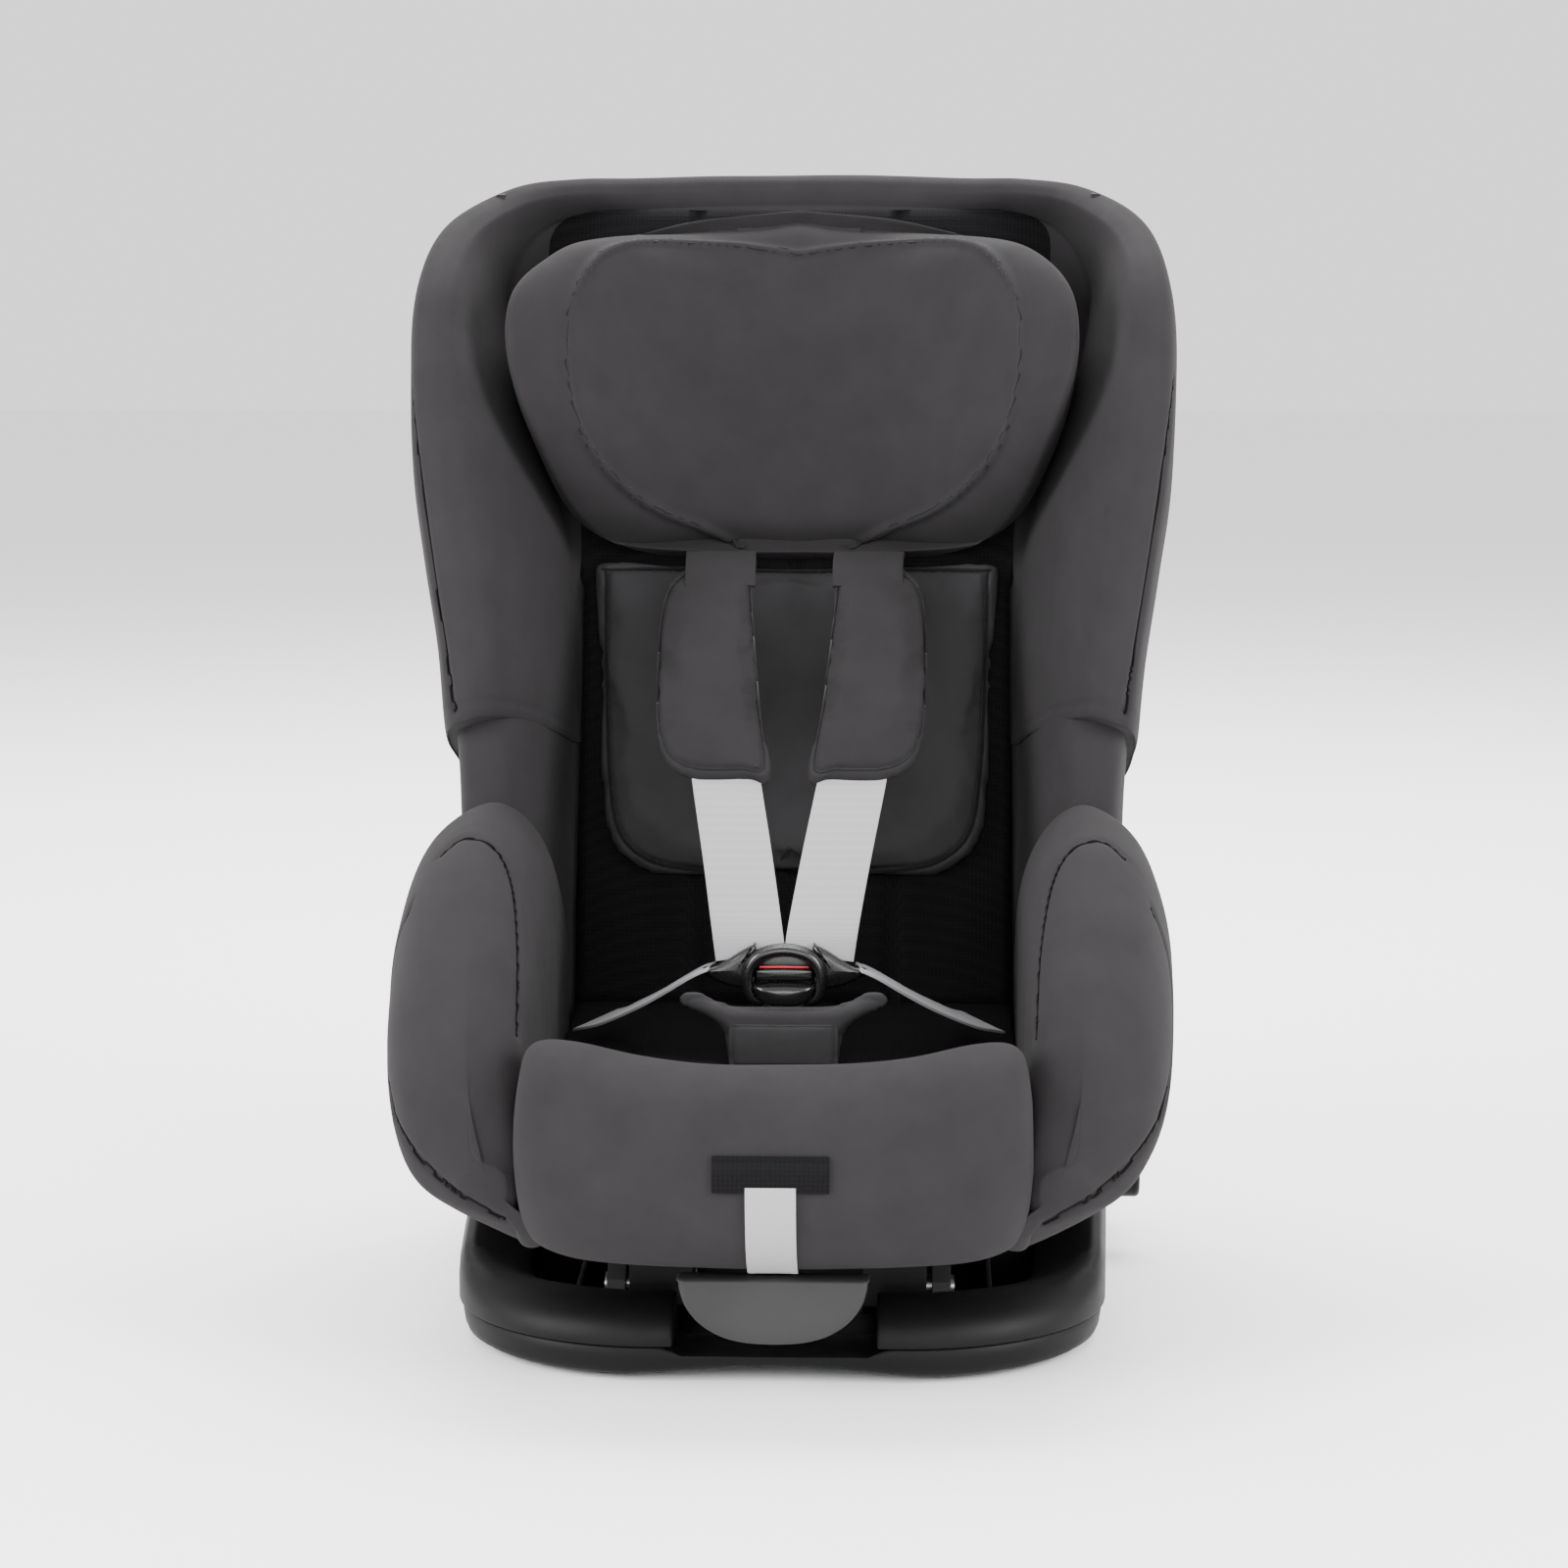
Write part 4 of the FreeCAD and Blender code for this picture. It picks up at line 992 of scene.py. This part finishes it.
def webbing(name, line, width, across=(1, 0, 0), thickness=1.5):
    """A flat strap along control points in millimetres, with a full rounded edge."""
    fine = [Vector(p) * MM for p in smooth_line(line, 14)]
    dots = even_line(fine, max(int(sum((b - a).length for a, b in zip(fine, fine[1:])) / 0.003), 8))
    rows = []
    for i, dot in enumerate(dots):
        along = (dots[min(i + 1, len(dots) - 1)] - dots[max(i - 1, 0)]).normalized()
        side = Vector(across)
        side = (side - along * side.dot(along)).normalized()
        over = along.cross(side)
        row = []
        half, thick = width / 2, thickness / 2
        for k in range(13):
            s = -1 + 2 * k / 12
            ridge = 0.18 if abs(abs(s) - 0.86) < 0.09 else 0.0
            row.append(dot + side * s * half * MM + over * (thick + ridge) * MM)
        for k in range(13):
            s = 1 - 2 * k / 12
            row.append(dot + side * s * half * MM - over * thick * MM)
        rows.append(row)
    strap = loft(name, rows)
    return round_edges(strap, 0.4, 2, 50)


def bend_strap(strap, replaces=()):
    """Gives a strap the webbing material, hides the CAD parts it replaces and bakes its placement
    into its mesh.
    """
    strap.data.materials.append(LOOKS["webbing"])
    if replaces:
        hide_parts(*replaces)
    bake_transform(strap)


def make_harness():
    for side, word in SIDES:
        low = webbing("shoulder_strap_low_" + word,
                      [(side * 19, -60, 199), (side * 21.7, -54.2, 217), (side * 28, -24, 250),
                       (side * 36, 12, 288), (side * 40, 30, 310)], 39)
        bend_strap(low,
                   ["shoulder_strap_" + word])
        high = webbing("shoulder_strap_high_" + word,
                       [(side * 35.2, 10.6, 286), (side * 37.5, 16, 293), (side * 43.5, 55, 341),
                        (side * 47, 90, 384)], 37)
        bend_strap(high)
        lap = webbing("lap_strap_" + word + "_cover",
                      [(side * 41, -58, 193), (side * 51, -55, 188), (side * 76, -38, 171),
                       (side * 98, -14, 157), (side * 112, 10, 149)], 31,
                      (0, 1, -0.08))
        bend_strap(lap,
                   ["lap_strap_" + word])


def make_pad_hangers():
    """Dark fabric bands that hang the shoulder pads from the headrest's slots."""
    for side, word in SIDES:
        place = sleeve(side)
        line = [tuple(place(44, -4.5, 138) / MM), tuple(place(44, -4, 154) / MM),
                (side * 44.5, 119, 413), (side * 45, 131, 411), (side * 45, 156, 401)]
        band = webbing("pad_hanger_" + word, line, 42, thickness=2.4)
        wear(band, "cover_fabric", "headrest", material=PAD_FABRIC)


def make_rear_straps():
    for side, word in SIDES:
        line = [(side * 45, 153, 396), back_mm(side * 40, 2, 284),
                back_mm(side * 26, 12, 272), back_mm(side * 22, 14, 250),
                back_mm(side * 22, 14, 210)]
        rear = webbing("shoulder_strap_rear_" + word, line, 37)
        wear(rear, "webbing", "headrest", ["upper_strap_" + word])
    crotch = webbing("crotch_strap_cover", [(0, -60, 142), (0, -61, 154), (0, -60, 166)], 34)
    wear(crotch, "webbing", "shell", ["crotch_strap"])


def rounded_form(name, outline, depths):
    """A form from one outline, each (depth, inset in mm) a ring of it, closed at both ends."""
    dots = [Vector(p) for p in outline]
    count = len(dots)
    rows = []
    for depth, inset in depths:
        ring = []
        for k, dot in enumerate(dots):
            along = (dots[(k + 1) % count] - dots[k - 1]).normalized()
            inward = Vector((-along.y, along.x))
            ring.append(dot + inward * inset)
        rows.append([point(p.x, depth, p.y) for p in ring])
    return loft(name, rows)


BODY_SHAPE = [(0, 173), (10, 173.5), (18, 177), (21, 183), (22, 190), (19, 199), (11, 204.5),
              (0, 206)]
DOME_SHAPE = [(0, 172.6), (8, 173), (13.5, 175.6), (16.6, 180.5), (17, 185), (9, 186.2), (0, 186.6)]
BUTTON_SHAPE = [(0, 187.4), (10, 187.4), (15.6, 188), (15.8, 191), (14.6, 193.6), (0, 194.2)]
STRIPE_SHAPE = [(0, 194.4), (11, 194.3), (13.6, 194.3), (13.6, 195.4), (11, 195.6), (0, 195.7)]
TONGUE_SHAPE = [(16, 181.5), (24, 181.5), (33, 183.5), (41, 187), (46, 190.4), (45, 192.6),
                (38, 194.6), (31, 198), (24, 202.5), (18, 205.5), (16, 205.5)]
BLADE_SHAPE = [(3, 182), (13, 182), (15, 188), (15.5, 195), (13, 201), (3, 201)]


def pillow_form(name, outline, depths):
    """A bulging form from one outline, each (depth, share) a ring of it shrunk to that share."""
    middle = sum((Vector(p) for p in outline), Vector((0, 0))) / len(outline)
    rows = []
    for depth, share in depths:
        ring = [middle.lerp(Vector(p), share) for p in outline]
        rows.append([point(p.x, depth, p.y) for p in ring])
    return loft(name, rows)


def make_buckle():
    body = rounded_form("buckle_body", whole_outline(BODY_SHAPE, 8, 72),
                        [(-47, 2.5), (-48, 0.8), (-50, 0), (-60, 0), (-62.4, 0.8), (-63.4, 2.6)])
    dome = pillow_form("buckle_dome", whole_outline(DOME_SHAPE, 8, 72),
                       [(-60, 1), (-69, 1), (-72, 0.985), (-74.4, 0.93), (-76.4, 0.82),
                        (-77.8, 0.64), (-78.6, 0.42), (-78.9, 0.18)])
    arch_line = [(-12, -69, 174.5), (-18, -71, 178), (-20.5, -72, 187), (-18.5, -72.5, 196),
                 (-12, -73, 202), (0, -73.5, 204.5), (12, -73, 202), (18.5, -72.5, 196),
                 (20.5, -72, 187), (18, -71, 178), (12, -69, 174.5)]
    arches = [tube("buckle_arch", [point(x, y + set_back, z) for x, y, z in
                                   smooth_line(arch_line, 8)], radius, sides=12)
              for set_back, radius in ((0, 2.9), (3.6, 3.1), (7.4, 3.2))]
    whole = join("buckle_cover", [body, dome] + arches)
    wear(whole, "buckle_plastic", "shell", ["buckle_housing"])
    button = rounded_form("buckle_button_face", whole_outline(BUTTON_SHAPE, 6, 60),
                          [(-67.6, 0), (-70.2, 0), (-71, 0.4), (-71.4, 1.2)])
    wear(button, "buckle_plastic", "buckle_button", ["buckle_button"])
    stripe = rounded_form("buckle_button_stripe", whole_outline(STRIPE_SHAPE, 6, 60),
                          [(-67.6, 0), (-70.9, 0), (-71.2, 0.1), (-71.3, 0.25)])
    wear(stripe, "button_plastic", "buckle_button")
    for side, word in SIDES:
        pieces = []
        for name, shape, depths in (
                ("tongue_wing", TONGUE_SHAPE,
                 [(-56, 2.2), (-57, 0.7), (-58.5, 0), (-63, 0), (-65.5, 0.8), (-66.4, 2.4)]),
                ("tongue_blade", BLADE_SHAPE, [(-58, 0.6), (-58.6, 0), (-61.4, 0), (-62, 0.6)])):
            fine = [Vector((side * p[0], p[1], 0)) for p in smooth_line(shape, 6, closed=True)]
            if side < 0:
                fine.reverse()
            outline = [(p.x, p.y) for p in even_line(fine, 70, closed=True)]
            pieces.append(rounded_form(name + "_" + word, outline, depths))
        tongue = join("tongue_cover_" + word, pieces)
        wear(tongue, "buckle_plastic", "tongue_" + word, ["tongue_" + word])


def lay_patch(name, thing, rows, lift, thickness):
    """A cloth patch on the front of a piece: half widths at heights, lifted off its skin."""
    tree = surface_tree(thing)
    loops = []
    for z, wide in rows:
        spots = [point(wide * (-1 + 2 * k / 16), -500, z) for k in range(17)]
        skin = [tree.ray_cast(spot, REARWARD)[0] for spot in spots]
        loops.append([v + point(0, -lift - thickness, 0) for v in skin]
                     + [v + point(0, -lift, 0) for v in reversed(skin)])
    return round_edges(loft(name, loops), 0.5, 2, 50)


def make_adjuster(roll):
    rows = [(133.5 - 18.5 * k / 10, 29.5) for k in range(11)]
    flap = lay_patch("adjuster_flap_cover", roll, rows, 0.4, 1.6)
    edge = [(-27, 132), (27, 132), (27, 116.5), (-27, 116.5), (-27, 132)]
    line = [point(x, -300, z) for x, z in edge]
    groove(flap, cast_on(flap, line, 80, REARWARD), 0.8, 0.4)
    wear(flap, "mesh_fabric", "shell", ["adjuster_flap"])
    tree = surface_tree(roll)
    line = []
    for k in range(9):
        z = 118 - 6 * k
        place, _, _, _ = tree.ray_cast(point(0, -500, z), REARWARD)
        line.append((0, place.y / MM - 1.6, z))
    line += [(0, line[-1][1] + 7, 66.5), (0, line[-1][1] + 16, 63.8)]
    tail = webbing("adjuster_tail", line, 25.5, thickness=1.4)
    wear(tail, "webbing", "shell", ["adjuster_strap"])


def make_pull_strap():
    line = [back_mm(0, 11, 184), back_mm(0, 11, 90), back_mm(0, 11, 5)]
    down = webbing("pull_strap_rear", line, 24)
    wear(down, "webbing", "shell", ["pull_strap"])


# ---- base


BASE_HALF, BASE_HALF_FRONT, BASE_FRONT, BASE_REAR = 190, 177, -215, 190
FRONT_CORNER, REAR_CORNER = 110, 60
RIM_TOP = [(-215, 30), (-195, 38), (-100, 51), (0, 64), (95, 80), (150, 99), (190, 100)]


def arc_points(centre, radius, start, end, count):
    turns = (math.radians(start + (end - start) * k / (count - 1)) for k in range(count))
    return [(centre[0] + radius * math.cos(t), centre[1] + radius * math.sin(t)) for t in turns]


def base_path(start_x=0.0):
    """The base's outline from the front, round its right side, to the same place on the left."""
    corner = (BASE_HALF_FRONT - FRONT_CORNER, BASE_FRONT + FRONT_CORNER)
    rear = (BASE_HALF - REAR_CORNER, BASE_REAR - REAR_CORNER)
    half = [(start_x, BASE_FRONT)]
    half += arc_points(corner, FRONT_CORNER, -90, -4, 30)
    half += [(0.55 * BASE_HALF_FRONT + 0.45 * BASE_HALF, -10)]
    half += arc_points(rear, REAR_CORNER, 0, 90, 20)
    half.append((0, BASE_REAR))
    whole = half + [(-x, y) for x, y in reversed(half[:-1])]
    return [(p.x, p.y) for p in even_line([(x, y, 0) for x, y in whole], 260)]


def moved_in(path, k, inset):
    """A place of the path moved inward."""
    before, after = path[max(k - 1, 0)], path[min(k + 1, len(path) - 1)]
    along = Vector((after[0] - before[0], after[1] - before[1])).normalized()
    return Vector(path[k]) + Vector((-along.y, along.x)) * inset


def table(rows, at):
    """Reads a value off a smooth line through (place, value) rows."""
    if at <= rows[0][0]:
        return rows[0][1]
    for k in range(len(rows) - 1):
        if at <= rows[k + 1][0]:
            t = (at - rows[k][0]) / (rows[k + 1][0] - rows[k][0])
            a, b = rows[max(k - 1, 0)], rows[min(k + 2, len(rows) - 1)]
            return catmull(a[1:], rows[k][1:], rows[k + 1][1:], b[1:], t)[0]
    return rows[-1][1]


def ease(value):
    value = min(max(value, 0.0), 1.0)
    return value * value * (3 - 2 * value)


def rim_profile(y):
    """The rim's section as (inset, z): a low apron in front, a tall rolled wall at the sides."""
    top = table(RIM_TOP, y)
    front = [(0, 20), (0, 25), (2.5, 31), (9, 36), (21, 39.5), (33, 41), (39, 40), (42, 35),
             (42, 20)]
    drop = top - 20
    wall = [(0, 20), (0, 20 + 0.5 * drop), (0.6, top - 7), (3.2, top - 1.6), (8, top),
            (15, top - 3), (31, top - 0.34 * drop), (40, top - 0.46 * drop), (42, 20)]
    return [mix(a, b, ease((y + 212) / 110)) for a, b in zip(front, wall)]


def make_rim():
    path = base_path(53)
    rows = [[point(*moved_in(path, i, inset), z) for inset, z in rim_profile(y)]
            for i, (_, y) in enumerate(path)]
    rim = loft("base_rim", rows)
    return round_edges(rim, 1.6, 3, 38)


def tray_height(x, y, z):
    """Lower in the handle's recess, and raised underneath in the middle of the front."""
    recess = ease((58 - abs(x)) / 8) if y < -160 else 0.0
    arch = 5.5 * math.cos(math.pi * min(abs(x) / 190, 0.5)) ** 2 * ease((-150 - y) / 40)
    level = z + arch * max(1 - (z - 3) / 9, 0.0)
    return min(level, 20 - 5 * recess)


def make_tray():
    path = base_path()[:-1]
    rows = []
    for inset, z in ((60, 3), (14, 3), (8, 3.4), (4.6, 5.6), (3.2, 9), (2.4, 14), (2, 18.6),
                     (3, 19.6), (6, 20), (30, 20), (43, 20), (45, 19), (45, 9), (47, 8), (60, 8)):
        rows.append([point(*moved_in(path, k, inset), tray_height(x, y, z))
                     for k, (x, y) in enumerate(path)])
    return loft("base_tray_shape", rows)


def make_ribs():
    """Stiffening ribs that divide the hollow of the base into pockets."""
    ribs = []
    for side in (-1, 1):
        outline = [(-170, 8), (150, 8), (150, 44), (90, 40), (-60, 30), (-170, 24)]
        ribs.append(slab("rib_long", outline, lambda a, b, c: point(side * 112 + c, a, b), 3, 0.6))
        for y in (-120, -40, 40, 110):
            outline = [(side * 115, 8), (side * 147, 8), (side * 147, 30), (side * 115, 26)]
            ribs.append(slab("rib_cross", outline, lambda a, b, c: point(a, y + c, b), 2.5, 0.5))
    return join("base_ribs", ribs)


UPRIGHT = [(162, 98), (186, 98), (188, 170), (206, 240), (203, 244), (193, 244), (168, 170)]
GUIDE = [(189.2, 172), (206, 178), (215, 188), (218, 199), (218, 230), (216, 234), (213, 234),
         (211.5, 231), (212, 206), (208, 197), (200, 190), (192, 181)]


def side_plate(name, outline, start, width, bevel):
    """A profile seen from the side, run across the seat."""
    return slab(name, outline, lambda y, z, x: point(start + x, y, z), width, bevel)


def make_upright():
    """The belt upright with its window, and the red guides on its shoulders."""
    upright = side_plate("upright_shape", UPRIGHT, -150, 300, 0)
    window = [(-70, 120), (70, 120), (95, 215), (-95, 215)]
    cut_away(upright, slab("window", window, lambda x, z, y: point(x, 100 + y, z), 150))
    round_edges(upright, 3, 3, 32)
    ribs = []
    for x in (-128, -112, 112, 128):
        ribs.append(slab("upright_rib", [(186, 104), (190.5, 106), (191.5, 166), (188, 168)],
                         lambda y, z, c, x=x: point(x - 1.5 + c, y, z), 3, 0.8))
    upright = join("rear_upright_shape", [upright] + ribs)
    hooks = [side_plate("belt_guide", GUIDE, side * 122 - 22, 44, 1.6) for side in (-1, 1)]
    return upright, join("belt_guide_hooks", hooks)


PANEL_DEPTH = 41


def on_panel(x, up, depth):
    return back(x, PANEL_DEPTH + depth, up)


def make_back_panel():
    """Stiffening ribs and a raised spine moulded on the back of the shell."""
    pieces = []
    spine = [(-46, 96), (46, 96), (46, 440), (40, 452), (-40, 452), (-46, 440)]
    pieces.append(slab("spine", spine, on_panel, 5, 2))
    inner = [(-30, 112), (30, 112), (30, 432), (26, 438), (-26, 438), (-30, 432)]
    pieces.append(slab("spine_step", inner, lambda x, up, d: back(x, 44 + d, up), 4, 1.6))
    for side in (-1, 1):
        for k in range(7):
            up = 128 + 46 * k
            reach = 160 if up > 200 else 140
            rib = [(side * 48, up - 2), (side * reach, up + 8), (side * reach, up + 12),
                   (side * 48, up + 2)]
            pieces.append(slab("back_rib", rib, on_panel, 3.2, 0.9))
        rail = [(side * 163, 118), (side * 168, 118), (side * 182, 290), (side * 182, 392),
                (side * 168, 440), (side * 163, 440), (side * 177, 392), (side * 177, 290)]
        pieces.append(slab("back_edge", rail, on_panel, 3.2, 0.9))
    return join("back_panel_ribs", pieces)


HANDLE = [(0, 28.4), (14, 29.2), (27, 32.4), (38, 39), (45, 47.5), (48, 56), (48.4, 61), (46, 62.5),
          (0, 62.8)]


def make_handle():
    """The D-shaped recline handle: a rounded face with a finger hollow behind its lower edge."""
    outline = whole_outline(HANDLE, 8, 120)
    rows = []
    for depth, share in ((-222, 0.5), (-222, 0.97), (-222.8, 0.99), (-224, 1), (-235, 1),
                         (-237.2, 0.985), (-238.5, 0.955), (-239, 0.91), (-239, 0.6), (-239, 0.3)):
        rows.append([point(share * x, depth, 48 + share * (z - 48)) for x, z in outline])
    return loft("handle_face", rows)


# ---- putting it together


def clothe():
    cover, cords = make_wing_cover()
    wear(cover, "cover_fabric", "shell", ["cover_upper", "wing_foam_left", "wing_foam_right"])
    wear(cords, "cover_fabric", "shell", material=DARK_THREAD)
    left, right = (make_waist(side, word) for side, word in SIDES)
    wear(left, "cover_fabric", "shell", ["cover_lower"])
    wear(right, "cover_fabric", "shell")
    for side, word in SIDES:
        arm, cords = make_arm(side, word)
        wear(arm, "cover_fabric", "shell", ["arm_cover_" + word, "arm_foam_" + word])
        wear(cords, "cover_fabric", "shell", material=DARK_THREAD)
    roll = make_roll()
    make_adjuster(roll)
    wear(roll, "cover_fabric", "shell", ["front_cushion"])
    cushion, piping = make_headrest()
    wear(cushion, "cover_fabric", "headrest", ["headrest_cushion"])
    wear(piping, "cover_fabric", "headrest", material=PIPING)
    pad, cords = make_back_pad()
    # The back pad wears the lighter pad fabric: painted light on a pad that sits in shade.
    wear(pad, "cover_fabric", "shell", ["back_pad"], material=PAD_FABRIC_PAINTED_LIGHT)
    wear(cords, "cover_fabric", "shell", material=PIPING)
    for side, word in SIDES:
        pad, cords = make_shoulder_pad(side, word)
        wear(pad, "cover_fabric", "headrest", ["shoulder_pad_" + word],
             material=PAD_FABRIC)
        wear(cords, "cover_fabric", "headrest", material=PIPING)
    crotch, panel = make_crotch_pad()
    # The crotch pad and its panel wear the lighter pad fabric too: painted light on a shaded area.
    wear(crotch, "cover_fabric", "shell", ["crotch_pad"], material=PAD_FABRIC_PAINTED_LIGHT)
    wear(panel, "cover_fabric", "shell", material=PAD_FABRIC_PAINTED_LIGHT)
    wear(make_seat_liner(), "mesh_fabric", "shell", ["seat_cushion"])
    wear(make_back_liner(), "mesh_fabric", "shell", ["back_cushion", "back_foam"])


CAMERA_LENS, CAMERA_SHIFT, CAMERA_DISTANCE = 80.55, -0.0406, 2.0
CAMERA_TURN, CAMERA_RISE = math.radians(2), math.radians(6)
CAMERA_TARGET = Vector((-0.0025, 0.0, 0.325))


def add_camera():
    camera = bpy.data.objects.new("camera", bpy.data.cameras.new("camera"))
    bpy.context.scene.collection.objects.link(camera)
    camera.data.lens = CAMERA_LENS
    camera.data.sensor_width = 36
    camera.data.shift_y = CAMERA_SHIFT
    camera.data.clip_end = 50
    turn, rise = CAMERA_TURN, CAMERA_RISE
    out = Vector((math.sin(turn) * math.cos(rise), -math.cos(turn) * math.cos(rise),
                  math.sin(rise)))
    camera.location = CAMERA_TARGET + out * CAMERA_DISTANCE
    camera.rotation_euler = (-out).to_track_quat("-Z", "Y").to_euler()
    bpy.context.scene.camera = camera


# Each lamp: name, place, what it points at, size, power.
LIGHTS = [
    ("left", (-2.1, -1.2, 1.2), (0, 0, 0.35), (1.2, 1.6), 120),
    ("right", (2.1, -1.2, 1.2), (0, 0, 0.35), (1.2, 1.6), 110),
    ("front", (0, -2.6, 1.1), (0, 0, 0.22), (1.8, 1.0), 34),
    ("floor_wash", (0, 1.5, 2.8), (0, 1.2, 0), (3.0, 2.0), 260),
]


def add_light(name, place, target, size, energy):
    lamp = bpy.data.objects.new(name, bpy.data.lights.new(name, "AREA"))
    bpy.context.scene.collection.objects.link(lamp)
    lamp.data.shape = "RECTANGLE"
    lamp.data.size, lamp.data.size_y = size
    lamp.data.energy = energy
    lamp.location = place
    lamp.rotation_euler = (Vector(target) - Vector(place)).to_track_quat("-Z", "Y").to_euler()


def add_studio():
    floor = add_mesh("floor", [(-30, -30, 0), (30, -30, 0), (30, 30, 0), (-30, 30, 0)],
                     [(0, 1, 2, 3)])
    paint = Paint("floor_paper", (0.92, 0.92, 0.92), 0.9)
    paint.vary(paint.noise(3, 2), 0.995, 1.005)
    floor.data.materials.append(paint.material)
    world = bpy.data.worlds.new("studio")
    world.use_nodes = True
    feed(world.node_tree.nodes["Background"], (("Color", (1, 1, 1, 1)), ("Strength", 1.5)))
    bpy.context.scene.world = world
    for light in LIGHTS:
        add_light(*light)


def dress_base():
    wear(make_rim(), "base_plastic", "base", ["base_frame"])
    wear(make_tray(), "base_plastic", "base", ["base_tray"])
    wear(make_ribs(), "base_plastic", "base")
    upright, hooks = make_upright()
    wear(upright, "base_plastic", "base", ["rear_upright"])
    wear(hooks, "guide_plastic", "base", ["belt_guides"])
    wear(make_back_panel(), "shell_plastic", "shell")
    wear(make_handle(), "handle_plastic", "recline_handle", ["recline_handle"])


paint_frame()
add_camera()
add_studio()
clothe()
dress_base()
make_harness()
make_pad_hangers()
make_rear_straps()
make_pull_strap()
make_buckle()
